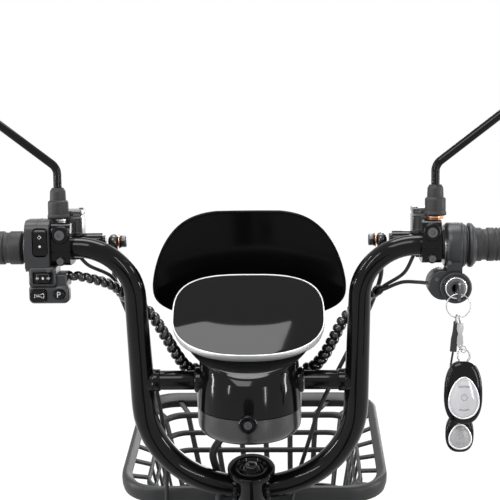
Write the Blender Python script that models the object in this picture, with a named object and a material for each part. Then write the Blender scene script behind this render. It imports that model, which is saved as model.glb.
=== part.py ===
# Electric bicycle with a U-shaped handlebar, lamp pod, front basket, cast wheels and rear hub motor.
# Metres, +Z up, +Y the way it travels, +X the rider's right.
# The origin is on the ground, half way along the bicycle.

import math

import bpy
import bmesh
from mathutils import Matrix, Vector

for old in list(bpy.data.objects):
    bpy.data.objects.remove(old, do_unlink=True)

# Clearances
GAP = 0.0003
RUNNING_GAP = 0.002
FLAT = math.radians(0.05)

# Wheels
WHEELBASE = 1.14
TYRE_RADIUS = 0.29
TYRE_WIDTH = 0.098
TYRE_DEPTH = 0.078
RIM_WIDTH = 0.078
RIM_DEPTH = 0.024
RIM_WALL = 0.005
SPOKES = 5
SPOKE_THICKNESS = 0.012
SPOKE_WIDTH = 0.006
AXLE_RADIUS = 0.007
NUT_HEIGHT = 0.009
FRONT_HUB_RADIUS = 0.026
FRONT_HUB_HALF = 0.046
MOTOR_RADIUS = 0.098
MOTOR_HALF = 0.043
DISC_RADIUS = 0.09
DISC_BAND = 0.016
DISC_THICKNESS = 0.0024
DISC_INSET = 0.0145
DISC_SEAT_RADIUS = 0.018
SPROCKET_SEAT_RADIUS = 0.017
CALIPER_WIDTH = 0.0284

# Mudguards
FENDER_GAP = 0.022
FENDER_WALL = 0.003
FENDER_WIDTH = 0.112
FENDER_BRIDGE = 44
BRIDGE_ABOVE_FENDER = 0.027
FRONT_FENDER_BOLT = -14
STAY_WIRE = 0.0022

# Steering and fork
HEAD_LEAN = math.radians(18)
FORK_OFFSET = 0.045
LEG_OFFSET = 0.03
LEG_SPREAD = 0.0835
LEG_RADIUS = 0.0215
STANCHION_RADIUS = 0.0155
TRAVEL = 0.04
ARCH_HEIGHT = 0.018
CROWN_HEIGHT = 0.03
HEAD_TUBE_LENGTH = 0.102
HEAD_TUBE_RADIUS = 0.026
STEERER_RADIUS = 0.0145
POST_RADIUS = 0.02
FRONT_DROPOUT = 0.0675
LUG_THICKNESS = 0.01
LEG_LOW = 0.03
BORE_LOW = 0.075
STANCHION_LOW = 0.13
ARCH_BOW = 0.028
SHELF_HALF = 0.055
SHELF_LENGTH = 0.15
SHELF_THICKNESS = 0.005

# Handlebar, measured in the plane of the steering axis
BAR_LOW_RISE = 0.0323
BAR_HEIGHT = 0.314
BAR_LEG_HALF = 0.1235
BAR_BEND = 0.06
BAR_BOTTOM_BEND = 0.115
BAR_HALF_WIDTH = 0.365
BAR_RADIUS = 0.0111
BAR_LOW_RADIUS = 0.014
CROSSBAR_DROP = 0.167
CROSSBAR_RADIUS = 0.011
CAP_RISE = 0.029
CAP_RADIUS = 0.028
CAP_HEIGHT = 0.007

# Grips and controls
GRIP_RADIUS = 0.018
GRIP_INNER = 0.2385
GRIP_CAP = 0.005
THROTTLE_GRIP_INNER = 0.2352
SWITCH_OUTER = 0.2367
SWITCH_INNER = 0.2074
SWITCH_INNER_GAP = 0.2071
SIDE_BOX_INNER = 0.1905
CLAMP_INNER = 0.1864
CLAMP_BOLT_RADIUS = 0.0095
LEVER_PIVOT = 0.1935
LEVER_AHEAD = 0.053
LEVER_LENGTH = 0.15
LEVER_PIN_RADIUS = 0.0035
MIRROR_X = 0.203
MIRROR_AHEAD = 0.010
MIRROR_ARM_RADIUS = 0.0046
MIRROR_BEND_RISE = 0.085
MIRROR_ARM_SLOPE = math.radians(37.5)
MIRROR_ARM_LENGTH = 0.15
MIRROR_BALL_RADIUS = 0.007
MIRROR_HALF_WIDTH = 0.062
MIRROR_HALF_HEIGHT = 0.042
LOCK_X = 0.2218
LOCK_DROP = 0.0436
KEY_HOLE = 0.005
RING_RADIUS = 0.0138
RING_WIRE = 0.0009
LINK_RADIUS = 0.0036

# Lamp pod, from the middle of the grips
POD_AHEAD = 0.055
POD_FLOOR = 0.222
POD_RADIUS = 0.0595
POD_BOSS = 0.0617
DASH_HALF_WIDTH = 0.0855
DASH_HALF_HEIGHT = 0.055
DASH_AHEAD = 0.0425
DASH_DROP = 0.0855
DASH_TILT = math.radians(54)
DASH_POWER = 2.7
BEZEL_DEPTH = 0.016
BEZEL_BAND = 0.0055
LAMP_DROP = 0.172
LAMP_RADIUS = 0.052
LAMP_AHEAD = 0.132
VISOR_HALF_WIDTH = 0.111
VISOR_TOP = 0.031
VISOR_DEPTH = 0.117
VISOR_AHEAD = 0.122
VISOR_WALL = 0.003
VISOR_BOLT = 0.0035

# Basket
BASKET_BEHIND = 0.145
BASKET_DEPTH = 0.29
BASKET_HALF_WIDTH = 0.167
BASKET_RIM_DROP = 0.322
BASKET_TILT = math.radians(9.5)
BASKET_WALL = 0.004
BASKET_BARS = 4
BASKET_BAR = 0.011
LOOM_RADIUS = 0.0048
LOOM_PITCH = 0.012
LEAD_RADIUS = 0.002
HOSE_RADIUS = 0.0025

# Frame
BB_AHEAD = 0.46
BB_HEIGHT = 0.30
BB_RADIUS = 0.023
BB_HALF_WIDTH = 0.05
SPINDLE_RADIUS = 0.01
DOWN_TUBE_RADIUS = 0.029
BRACE_RADIUS = 0.019
SEAT_TUBE_RADIUS = 0.0175
SEAT_POST_RADIUS = 0.0137
SEAT_LEAN = math.radians(17)
SEAT_TUBE_LENGTH = 0.40
SEAT_BORE_LOW = 0.12
SEAT_POST_IN = 0.18
BATTERY_THICKNESS = 0.078
BATTERY_HALF_WIDTH = 0.045
BATTERY_LOW = 0.05
BATTERY_LENGTH = 0.25
STAY_RADIUS = 0.0095
REAR_DROPOUT = 0.086
DROPOUT_THICKNESS = 0.006

# Saddle
SADDLE_RISE = 0.10
SADDLE_LENGTH = 0.27
SADDLE_HALF_WIDTH = 0.118
SADDLE_NOSE_HALF = 0.028
SADDLE_THICKNESS = 0.055

# Drive
CHAINRING_TEETH = 46
SPROCKET_TEETH = 18
CHAIN_PITCH = 0.0127
CHAIN_HEIGHT = 0.008
CHAIN_WIDTH = 0.008
CHAIN_LINE = 0.064
TOOTH_HEIGHT = 0.004
RING_THICKNESS = 0.0025
CRANK_LENGTH = 0.165
CRANK_INNER = 0.0895
CRANK_THICKNESS = 0.013
PEDAL_INNER = 0.110
PEDAL_LENGTH = 0.094
PEDAL_WIDTH = 0.084
PEDAL_HEIGHT = 0.024
PEDAL_AXLE_RADIUS = 0.006

# Rack and stand
RACK_ABOVE_FENDER = 0.067
RACK_FRONT = -0.305
RACK_LEG_X = 0.1045
RACK_LENGTH = 0.36
RACK_HALF_WIDTH = 0.068
RACK_TUBE = 0.0065
STAND_BACK = 0.057
STAND_HEIGHT = 0.183
STAND_HALF = 0.0785
STAND_PIN_RADIUS = 0.007
STAND_BLOCK_HALF = 0.022
STAND_LEG_RADIUS = 0.008
STAND_FOOT_X = 0.112
STAND_FOOT_AHEAD = 0.012

# Places worked out from the sizes
FENDER_INNER = TYRE_RADIUS + FENDER_GAP
FENDER_OUTER = FENDER_INNER + FENDER_WALL
BRIDGE_RADIUS = FENDER_OUTER + BRIDGE_ABOVE_FENDER
RACK_HEIGHT = TYRE_RADIUS + FENDER_OUTER + RACK_ABOVE_FENDER
OVERALL_LENGTH = WHEELBASE + TYRE_RADIUS + FENDER_OUTER
REAR_AXLE = Vector((0, FENDER_OUTER - OVERALL_LENGTH / 2, TYRE_RADIUS))
FRONT_AXLE = REAR_AXLE + Vector((0, WHEELBASE, 0))
ACROSS = Vector((1, 0, 0))
AHEAD = Vector((0, math.cos(HEAD_LEAN), math.sin(HEAD_LEAN)))
UPWARD = Vector((0, -math.sin(HEAD_LEAN), math.cos(HEAD_LEAN)))
STEER_FOOT = FRONT_AXLE - FORK_OFFSET * AHEAD
ARCH_LOW = TYRE_RADIUS + FENDER_GAP + FENDER_WALL + 0.004
ARCH_TOP = ARCH_LOW + ARCH_HEIGHT
CROWN_LOW = ARCH_TOP + TRAVEL + 0.004
CROWN_TOP = CROWN_LOW + CROWN_HEIGHT
HEAD_LOW = CROWN_TOP + 2 * RUNNING_GAP
HEAD_TOP = HEAD_LOW + HEAD_TUBE_LENGTH
BAR_LOW = HEAD_TOP + BAR_LOW_RISE
GRIP_S = BAR_LOW + BAR_HEIGHT
BOTTOM_BRACKET = Vector((0, REAR_AXLE.y + BB_AHEAD, BB_HEIGHT))
SEAT_UP = Vector((0, -math.sin(SEAT_LEAN), math.cos(SEAT_LEAN)))
SEAT_FORE = Vector((0, math.cos(SEAT_LEAN), math.sin(SEAT_LEAN)))
SEAT_TOP = BOTTOM_BRACKET + SEAT_TUBE_LENGTH * SEAT_UP
RIM_RADIUS = TYRE_RADIUS - TYRE_DEPTH
CHAINRING_RADIUS = CHAIN_PITCH / (2 * math.sin(math.pi / CHAINRING_TEETH))
SPROCKET_RADIUS = CHAIN_PITCH / (2 * math.sin(math.pi / SPROCKET_TEETH))
STAND_PIVOT = Vector((0, BOTTOM_BRACKET.y - STAND_BACK, STAND_HEIGHT))
FRONT_CALIPER_ANGLE = math.radians(162.5)
REAR_CALIPER_ANGLE = math.radians(104)


def steer(x, ahead, up):
    """A point of the steering assembly: across, ahead of the steering axis, and up along it."""
    return STEER_FOOT + x * ACROSS + ahead * AHEAD + up * UPWARD


GRIP_MIDDLE = steer(0, 0, GRIP_S)
DOWN_TOP = steer(0, 0, HEAD_LOW + 0.055)
DOWN_AWAY = (Vector((0, BOTTOM_BRACKET.y + 0.20, BB_HEIGHT + 0.045)) - DOWN_TOP).normalized()
BASKET_NEAR = GRIP_MIDDLE + Vector((0, BASKET_BEHIND, -BASKET_RIM_DROP))
SHELF_TOP = steer(0, LEG_OFFSET, CROWN_TOP).z + 0.008
BASKET_SLOTS = []
for side_slots in (BASKET_BARS - 1, BASKET_BARS, BASKET_BARS - 1, BASKET_BARS):
    first_column = BASKET_SLOTS[-1] + 5 if BASKET_SLOTS else 0
    BASKET_SLOTS += [first_column + 2 * k for k in range(side_slots)]
BASKET_FLOOR = SHELF_TOP + GAP


def bar(x, y, z):
    """A point given level from the middle of the grips."""
    return GRIP_MIDDLE + Vector((x, y, z))


# Shape helpers

def mesh_object(name, corners, faces):
    mesh = bpy.data.meshes.new(name)
    mesh.from_pydata([tuple(corner) for corner in corners], [], faces)
    obj = bpy.data.objects.new(name, mesh)
    bpy.context.collection.objects.link(obj)
    tidy(obj)
    return obj


def tidy(obj):
    """Merge coincident points, join flat facets and turn every face outwards."""
    work = bmesh.new()
    work.from_mesh(obj.data)
    bmesh.ops.remove_doubles(work, verts=work.verts, dist=1e-6)
    bmesh.ops.dissolve_degenerate(work, edges=work.edges, dist=1e-6)
    bmesh.ops.dissolve_limit(work, angle_limit=FLAT, verts=work.verts, edges=work.edges)
    bmesh.ops.recalc_face_normals(work, faces=work.faces)
    if work.calc_volume(signed=True) < 0:
        bmesh.ops.reverse_faces(work, faces=work.faces)
    work.to_mesh(obj.data)
    work.free()


def in_triangles(obj):
    """Split faces into triangles, which a Boolean cuts exactly."""
    work = bmesh.new()
    work.from_mesh(obj.data)
    bmesh.ops.triangulate(work, faces=work.faces)
    work.to_mesh(obj.data)
    work.free()


def skin(name, rings, closed=False, caps=True):
    """Faces between rings of equal count; the first and last ring are capped unless closed."""
    count = len(rings[0])
    corners = [point for ring in rings for point in ring]
    faces = []
    spans = len(rings) if closed else len(rings) - 1
    for i in range(spans):
        here = i * count
        there = ((i + 1) % len(rings)) * count
        for j in range(count):
            k = (j + 1) % count
            faces.append((here + j, here + k, there + k, there + j))
    if caps and not closed:
        faces.append(tuple(range(count)))
        faces.append(tuple(range(len(corners) - count, len(corners))))
    return mesh_object(name, corners, faces)


def pierced(name, outer, inner, is_open, floor=True):
    """A wall between two grids of points, rows going up and columns going round, with open cells left out.

    The last row's two skins are joined by a rim, and so are the first row's when there is no floor.
    """
    rows = len(outer)
    columns = len(outer[0])
    half = rows * columns
    corners = [point for row in outer for point in row] + [point for row in inner for point in row]
    opened = [[i < rows - 1 and is_open(i, j % columns) for j in range(columns)] for i in range(rows - 1)]
    faces = []
    for i in range(rows - 1):
        for j in range(columns):
            k = (j + 1) % columns
            a, b, c, d = i * columns + j, i * columns + k, (i + 1) * columns + k, (i + 1) * columns + j
            if not opened[i][j]:
                faces += [(a, b, c, d), (half + a, half + d, half + c, half + b)]
                continue
            if not opened[i][j - 1]:
                faces.append((a, d, half + d, half + a))
            if not opened[i][k]:
                faces.append((b, half + b, half + c, c))
            if i == 0 or not opened[i - 1][j]:
                faces.append((a, half + a, half + b, b))
            if i == rows - 2 or not opened[i + 1][j]:
                faces.append((d, c, half + c, half + d))
    top = (rows - 1) * columns
    for j in range(columns):
        k = (j + 1) % columns
        faces.append((top + j, top + k, half + top + k, half + top + j))
        if not floor:
            faces.append((j, half + j, half + k, k))
    if floor:
        faces.append(tuple(range(columns)))
        faces.append(tuple(range(half, half + columns)))
    return mesh_object(name, corners, faces)


def frames(points, closed, hint):
    """A sideways and an upright direction at each point, carried along without twist."""
    total = len(points)
    result = []
    side = None
    for i in range(total):
        before = points[i - 1] if i or closed else points[0]
        after = points[(i + 1) % total] if i < total - 1 or closed else points[-1]
        along = (after - before).normalized()
        if side is None:
            side = hint - hint.dot(along) * along
            if side.length < 1e-4:
                side = along.orthogonal()
        side = (side - side.dot(along) * along).normalized()
        result.append((side, along.cross(side)))
    return result


def sweep(name, points, radius, sides=8, closed=False, hint=Vector((0, 0, 1)), section=None):
    """A tube, or any section of (side, upright) pairs, carried along points; radius may be a list."""
    points = [Vector(point) for point in points]
    radii = radius if isinstance(radius, list) else [radius] * len(points)
    if section is None:
        section = [(math.cos(2 * math.pi * k / sides), math.sin(2 * math.pi * k / sides))
                   for k in range(sides)]
    rings = []
    for point, size, (side, upright) in zip(points, radii, frames(points, closed, hint)):
        rings.append([point + size * (u * side + v * upright) for u, v in section])
    return skin(name, rings, closed)


def lathe(name, profile, middle, axis, segments=16, ring=False, start=0.0):
    """Turn (radius, along) pairs about an axis; a ring profile closes on itself."""
    axis = Vector(axis).normalized()
    side = axis.orthogonal().normalized()
    if abs(axis.x) > 0.99:
        side = Vector((0, 0, -1))
    other = axis.cross(side)
    rings = []
    for k in range(segments):
        angle = start + 2 * math.pi * k / segments
        out = math.cos(angle) * side + math.sin(angle) * other
        rings.append([middle + radius * out + along * axis for radius, along in profile])
    corners = [point for turned in rings for point in turned]
    count = len(profile)
    faces = []
    spans = count if ring else count - 1
    for i in range(segments):
        here = i * count
        there = ((i + 1) % segments) * count
        for j in range(spans):
            k = (j + 1) % count
            faces.append((here + j, here + k, there + k, there + j))
    return mesh_object(name, corners, faces)


def rod(name, start, end, radius, segments=10):
    """A straight round bar."""
    start = Vector(start)
    end = Vector(end)
    length = (end - start).length
    profile = [(0, 0), (radius, 0), (radius, length), (0, length)]
    return lathe(name, profile, start, end - start, segments)


def block(name, low, high, bevel=0.0, steps=1):
    """A box between two corners, its edges rounded when it has a bevel."""
    work = bmesh.new()
    bmesh.ops.create_cube(work, size=1.0)
    low = Vector(low)
    high = Vector(high)
    for vert in work.verts:
        vert.co = Vector([(low[i] + high[i]) / 2 + vert.co[i] * (high[i] - low[i]) for i in range(3)])
    if bevel:
        bmesh.ops.bevel(work, geom=work.edges[:], offset=bevel, segments=steps, affect="EDGES", profile=0.5)
    mesh = bpy.data.meshes.new(name)
    work.to_mesh(mesh)
    work.free()
    obj = bpy.data.objects.new(name, mesh)
    bpy.context.collection.objects.link(obj)
    return obj


def plate(name, outline, middle, across, upright, thickness):
    """Extrude an outline of (across, upright) pairs both ways by half its thickness."""
    normal = across.cross(upright)
    rings = []
    for offset in (-thickness / 2, thickness / 2):
        rings.append([middle + u * across + v * upright + offset * normal for u, v in outline])
    return skin(name, rings)


def oval(half_width, half_height, count, power=2.0, start=0.0):
    """A rounded outline; a power of 2 is an ellipse and a higher one is squarer."""
    result = []
    for k in range(count):
        angle = start + 2 * math.pi * k / count
        c = math.cos(angle)
        s = math.sin(angle)
        result.append((half_width * math.copysign(abs(c) ** (2 / power), c),
                       half_height * math.copysign(abs(s) ** (2 / power), s)))
    return result


def rounded_rectangle(half_width, half_depth, radius, steps):
    """Corner arcs of a rectangle, starting at its right side and going round."""
    result = []
    for turn, (sx, sy) in enumerate(((1, 1), (-1, 1), (-1, -1), (1, -1))):
        for k in range(steps + 1):
            angle = math.radians(90) * (turn + k / steps)
            result.append((sx * (half_width - radius) + radius * math.cos(angle),
                           sy * (half_depth - radius) + radius * math.sin(angle)))
    return result


def bend(corners, radii, steps):
    """Corner points joined by straight runs, with an arc at each inner corner."""
    corners = [Vector(corner) for corner in corners]
    result = [corners[0]]
    for i in range(1, len(corners) - 1):
        inward = (corners[i - 1] - corners[i]).normalized()
        outward = (corners[i + 1] - corners[i]).normalized()
        half = inward.angle(outward) / 2
        reach = radii[i - 1] / math.tan(half)
        centre = corners[i] + (inward + outward).normalized() * (radii[i - 1] / math.sin(half))
        first = corners[i] + reach * inward - centre
        last = corners[i] + reach * outward - centre
        turn = first.angle(last)
        for k in range(steps + 1):
            share = k / steps
            point = (math.sin((1 - share) * turn) * first + math.sin(share * turn) * last) / math.sin(turn)
            result.append(centre + point)
    result.append(corners[-1])
    return result


def flowing(points, steps):
    """A smooth curve through chosen points."""
    points = [Vector(point) for point in points]
    padded = [2 * points[0] - points[1]] + points + [2 * points[-1] - points[-2]]
    result = []
    for i in range(1, len(padded) - 2):
        a, b, c, d = padded[i - 1:i + 3]
        for k in range(steps):
            t = k / steps
            result.append(0.5 * ((2 * b) + (c - a) * t + (2 * a - 5 * b + 4 * c - d) * t ** 2
                                 + (3 * b - a - 3 * c + d) * t ** 3))
    result.append(points[-1])
    return result


def combine(base, others, operation):
    """Join or cut solids with an exact Boolean; the tools of the cut are used up."""
    for other in others:
        in_triangles(base)
        in_triangles(other)
        step = base.modifiers.new("combine", "BOOLEAN")
        step.operation = operation
        step.solver = "EXACT"
        step.object = other
        evaluated = base.evaluated_get(bpy.context.evaluated_depsgraph_get())
        mesh = bpy.data.meshes.new_from_object(evaluated)
        base.modifiers.clear()
        base.data = mesh
        tidy(base)
        bpy.data.objects.remove(other, do_unlink=True)
    return base


def join(base, *others):
    return combine(base, others, "UNION")


def cut(base, *others):
    return combine(base, others, "DIFFERENCE")


MATERIALS = {}


def finish(name, colour, roughness, metallic=0.0, coat=0.0):
    material = bpy.data.materials.new(name)
    material.use_nodes = True
    shader = material.node_tree.nodes["Principled BSDF"]
    shader.inputs["Base Color"].default_value = (*colour, 1)
    shader.inputs["Roughness"].default_value = roughness
    shader.inputs["Metallic"].default_value = metallic
    shader.inputs["Coat Weight"].default_value = coat
    MATERIALS[name] = material


finish("gloss_black_paint", (0.012, 0.012, 0.014), 0.14, coat=0.8)
finish("satin_black_paint", (0.022, 0.022, 0.024), 0.4)
finish("black_plastic", (0.03, 0.03, 0.033), 0.5)
finish("gloss_black_plastic", (0.01, 0.01, 0.012), 0.1)
finish("basket_plastic", (0.045, 0.046, 0.05), 0.6)
finish("rubber", (0.035, 0.035, 0.037), 0.8)
finish("tyre_rubber", (0.028, 0.028, 0.029), 0.85)
finish("bright_metal", (0.62, 0.62, 0.63), 0.22, metallic=1.0)
finish("steel", (0.38, 0.38, 0.39), 0.34, metallic=1.0)
finish("cast_alloy", (0.05, 0.05, 0.055), 0.35, metallic=0.4)
finish("screen_glass", (0.008, 0.009, 0.012), 0.05)
finish("clear_lens", (0.55, 0.57, 0.6), 0.08)
finish("red_lens", (0.35, 0.01, 0.012), 0.15)
finish("black_leather", (0.025, 0.024, 0.024), 0.55)


def node(name, obj, material, pivot=Vector((0, 0, 0)), angle=35):
    """Name a finished solid, give it its material and put its origin on its axis."""
    obj.name = name
    obj.data.name = name
    obj.data.materials.clear()
    obj.data.materials.append(MATERIALS[material])
    obj.data.transform(Matrix.Translation(-pivot))
    obj.location = pivot
    for face in obj.data.polygons:
        face.material_index = 0
    obj.data.shade_smooth()
    obj.data.set_sharp_from_angle(angle=math.radians(angle))
    return obj


# Wheels

def tyre(name, axle):
    """A fat crowned tyre, open inside so that it seats on the rim."""
    half = TYRE_WIDTH / 2
    outer = TYRE_RADIUS
    seat = RIM_RADIUS + GAP
    profile = [(seat, -RIM_WIDTH / 2 + RIM_WALL), (seat + 0.01, -RIM_WIDTH / 2), (outer - 0.040, -half),
               (outer - 0.008, -half + 0.012)]
    profile += [(outer, 0)] + [(radius, -along) for radius, along in reversed(profile)]
    ring = lathe(name, profile, axle, ACROSS, segments=24, ring=True)
    return node(name, ring, "tyre_rubber", axle)


def wheel(name, axle, hub_radius, hub_half, disc_side, drive_side):
    """Rim, spokes and hub of a cast wheel, with a seat for the disc and one for the sprocket."""
    half = RIM_WIDTH / 2
    well = RIM_RADIUS - RIM_DEPTH
    rim_profile = [(RIM_RADIUS, -half + RIM_WALL), (RIM_RADIUS + 0.009, -half), (well, -half * 0.7),
                   (well, half * 0.7), (RIM_RADIUS + 0.009, half), (RIM_RADIUS, half - RIM_WALL)]
    body = lathe(name, rim_profile, axle, ACROSS, segments=24, ring=True)
    section = [(SPOKE_THICKNESS, SPOKE_WIDTH), (-SPOKE_THICKNESS, SPOKE_WIDTH),
               (-SPOKE_THICKNESS, -SPOKE_WIDTH), (SPOKE_THICKNESS, -SPOKE_WIDTH)]
    pieces = []
    for k in range(SPOKES):
        angle = 2 * math.pi * (k + 0.25) / SPOKES
        out = Vector((0, math.sin(angle), math.cos(angle)))
        pieces.append(sweep("spoke", [axle + (hub_radius - 0.006) * out, axle + (well + 0.006) * out],
                            [1.3, 1.0],
                            hint=ACROSS, section=section))
    bore = AXLE_RADIUS + GAP
    steps = [(bore, -disc_side), (DISC_SEAT_RADIUS, -disc_side), (DISC_SEAT_RADIUS, -hub_half - 0.002),
             (hub_radius, -hub_half + 0.006), (hub_radius, hub_half - 0.006),
             (SPROCKET_SEAT_RADIUS, hub_half + 0.002),
             (SPROCKET_SEAT_RADIUS, drive_side), (bore, drive_side)]
    hub = lathe("hub", steps, axle, ACROSS, segments=12, ring=True)
    join(body, *pieces, hub)
    return node(name, body, "cast_alloy", axle)


def brake_disc(name, axle, offset):
    """A brake disc: its rubbing ring and the five arms between its windows."""
    rows = []
    for side in (-1, 1):
        middle = axle - (offset + side * DISC_THICKNESS / 2) * ACROSS
        skin_rows = []
        for radius, swirl in ((AXLE_RADIUS + RUNNING_GAP, 0), (DISC_SEAT_RADIUS + 0.005, 0),
                              (DISC_RADIUS - DISC_BAND, 0.5), (DISC_RADIUS, 0.5)):
            angles = [2 * math.pi * k / 15 + swirl for k in range(15)]
            skin_rows.append([middle + radius * Vector((0, math.sin(a), math.cos(a))) for a in angles])
        rows.append(skin_rows)
    body = pierced(name, rows[0], rows[1], lambda row, column: row == 1 and column % 3, floor=False)
    return node(name, body, "steel", axle)


def wheel_axle(name, axle, inner_left, inner_right, dropout, thickness):
    """The fixed axle with its spacers inside the dropouts and its nuts outside."""
    spacer = AXLE_RADIUS + 0.003
    nut = AXLE_RADIUS + 0.004
    tip = dropout + thickness + NUT_HEIGHT
    left = [(0, -tip), (nut, -tip), (nut, -dropout - thickness - GAP),
            (AXLE_RADIUS, -dropout - thickness - GAP),
            (AXLE_RADIUS, -dropout + GAP), (spacer, -dropout + GAP), (spacer, -inner_left),
            (AXLE_RADIUS, -inner_left)]
    right = [(AXLE_RADIUS, inner_right), (spacer, inner_right), (spacer, dropout - GAP),
             (AXLE_RADIUS, dropout - GAP), (AXLE_RADIUS, dropout + thickness + GAP),
             (nut, dropout + thickness + GAP), (nut, tip), (0, tip)]
    return node(name, lathe(name, left + right, axle, ACROSS, segments=6), "steel", axle)


def caliper(name, disc_middle, angle):
    """A brake caliper straddling the edge of its disc; angle turns from +Y towards up."""
    outward = Vector((0, math.cos(angle), math.sin(angle)))
    around = Vector((0, -math.sin(angle), math.cos(angle)))
    middle = disc_middle + (DISC_RADIUS - DISC_BAND / 2 + 0.006) * outward
    outline = [(u + 0.002, v) for u, v in rounded_rectangle(0.018, 0.027, 0.008, 1)]
    body = plate(name, outline, middle, outward, around, CALIPER_WIDTH)
    slot = block("slot", (-DISC_THICKNESS / 2 - 0.0008, -0.05, -0.04),
                 (DISC_THICKNESS / 2 + 0.0008, 0.012, 0.04))
    slot.data.transform(Matrix.Translation(middle) @ Matrix.Rotation(angle, 4, "X"))
    piston = rod("piston", middle + CALIPER_WIDTH / 4 * ACROSS, middle + (CALIPER_WIDTH / 2 + 0.003) * ACROSS,
                 0.011)
    join(body, piston)
    cut(body, slot)
    return node(name, body, "satin_black_paint")


def fender(name, axle, first, last, step):
    """A mudguard: a lipped channel bent round the wheel; angles turn forwards from the top."""
    half = FENDER_WIDTH / 2
    outer = [(-half, -0.024), (-half * 0.93, -0.008), (-half * 0.55, 0), (half * 0.55, 0),
             (half * 0.93, -0.008), (half, -0.024)]
    inner = [(half - FENDER_WALL, -0.024), (half * 0.93 - FENDER_WALL, -0.008 - FENDER_WALL * 0.8),
             (half * 0.55, -FENDER_WALL), (-half * 0.55, -FENDER_WALL),
             (-half * 0.93 + FENDER_WALL, -0.008 - FENDER_WALL * 0.8), (-half + FENDER_WALL, -0.024)]
    rings = []
    for degrees in range(first, last + 1, step):
        angle = math.radians(degrees)
        out = Vector((0, math.sin(angle), math.cos(angle)))
        rings.append([axle + x * ACROSS + (FENDER_OUTER + drop) * out for x, drop in outer + inner])
    return skin(name, rings)


def front_wheel_set():
    tyre("front_tyre", FRONT_AXLE)
    disc_face = FRONT_DROPOUT - DISC_INSET + DISC_THICKNESS / 2
    wheel("front_wheel", FRONT_AXLE, FRONT_HUB_RADIUS, FRONT_HUB_HALF,
          disc_face - DISC_THICKNESS - GAP, FRONT_HUB_HALF + 0.004)
    brake_disc("front_disc", FRONT_AXLE, FRONT_DROPOUT - DISC_INSET)
    wheel_axle("front_axle", FRONT_AXLE, disc_face + GAP, FRONT_HUB_HALF + 0.004 + GAP,
               FRONT_DROPOUT, LUG_THICKNESS)
    guard = fender("front_fender", FRONT_AXLE, -78, 18, 16)
    node("front_fender", guard, "gloss_black_paint")


def rear_wheel_set():
    tyre("rear_tyre", REAR_AXLE)
    disc_face = REAR_DROPOUT - DISC_INSET + DISC_THICKNESS / 2
    wheel("rear_wheel", REAR_AXLE, MOTOR_RADIUS, MOTOR_HALF,
          disc_face - DISC_THICKNESS - GAP, CHAIN_LINE + 0.004)
    brake_disc("rear_disc", REAR_AXLE, REAR_DROPOUT - DISC_INSET)
    wheel_axle("rear_axle", REAR_AXLE, disc_face + GAP, CHAIN_LINE + 0.004 + GAP,
               REAR_DROPOUT, DROPOUT_THICKNESS)
    guard = fender("rear_fender", REAR_AXLE, -92, 61, 17)
    stays = []
    for side in (-1, 1):
        x = side * (REAR_DROPOUT + DROPOUT_THICKNESS + 0.0035)
        rim = math.radians(-75)
        out = Vector((0, math.sin(rim), math.cos(rim)))
        edge = REAR_AXLE + (FENDER_OUTER - 0.014) * out + side * (FENDER_WIDTH / 2 - 0.001) * ACROSS
        knee = REAR_AXLE + (FENDER_OUTER * 0.7) * out + x * ACROSS
        foot = REAR_AXLE + 0.024 * out + x * ACROSS
        stays.append(sweep("stay", [edge, knee, foot], STAY_WIRE, sides=5))
    join(guard, *stays)
    node("rear_fender", guard, "gloss_black_paint")


# Fork and what turns with it

def fork_lowers():
    """Both lower legs with their bores and axle lugs, joined by the arch over the tyre."""
    legs = []
    lug_x = FRONT_DROPOUT + LUG_THICKNESS / 2
    for side in (-1, 1):
        x = side * LEG_SPREAD
        bore = STANCHION_RADIUS + GAP
        profile = [(0, LEG_LOW), (LEG_RADIUS * 0.8, LEG_LOW), (LEG_RADIUS, LEG_LOW + 0.01),
                   (LEG_RADIUS, ARCH_TOP - 0.003), (LEG_RADIUS - 0.003, ARCH_TOP), (bore, ARCH_TOP),
                   (bore, BORE_LOW), (0, BORE_LOW)]
        leg = lathe("leg", profile, steer(x, LEG_OFFSET, 0), UPWARD, segments=8)
        outline = [(FORK_OFFSET + 0.02 * math.cos(a), 0.02 * math.sin(a))
                   for a in [math.radians(d) for d in range(-150, 61, 30)]]
        outline += [(LEG_OFFSET + 0.014, LEG_LOW + 0.02), (LEG_OFFSET - 0.014, LEG_LOW + 0.02),
                    (LEG_OFFSET - 0.014, LEG_LOW + 0.004)]
        lug = plate("lug", outline, steer(side * lug_x, 0, 0), AHEAD, UPWARD, LUG_THICKNESS)
        join(leg, lug)
        legs.append(leg)
    crown_points = []
    for k in range(7):
        share = k / 6 * 2 - 1
        x = share * (LEG_SPREAD - LEG_RADIUS * 0.6)
        bow = ARCH_BOW * (1 - abs(share) ** 2.5)
        crown_points.append(steer(x, LEG_OFFSET + LEG_RADIUS * 0.55 + bow, ARCH_LOW + ARCH_HEIGHT / 2))
    half = ARCH_HEIGHT / 2 - 0.001
    section = [(half, 0.004), (half - 0.004, 0.009), (-half + 0.004, 0.009), (-half, 0.004), (-half, -0.006),
               (half, -0.006)]
    arch = sweep("arch", crown_points, 1.0, hint=UPWARD, section=section)
    tab = plate("tab", rounded_rectangle(0.020, 0.018, 0.006, 1),
                steer(-FRONT_DROPOUT - 0.006, -0.008, 0.050),
                AHEAD, UPWARD, 0.012)
    rise = math.radians(FRONT_FENDER_BOLT)
    out = Vector((0, math.sin(rise), math.cos(rise)))
    bolt = rod("fender_bolt", FRONT_AXLE + (FENDER_OUTER + GAP) * out, FRONT_AXLE +
               (FENDER_OUTER + 0.012) * out, 0.006, 8)
    body = legs[0]
    join(body, arch, legs[1], tab, bolt)
    hole = rod("hole", FRONT_AXLE - 0.12 * ACROSS, FRONT_AXLE + 0.12 * ACROSS, AXLE_RADIUS + GAP, 12)
    cut(body, hole)
    node("fork_lowers", body, "gloss_black_paint")


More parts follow.
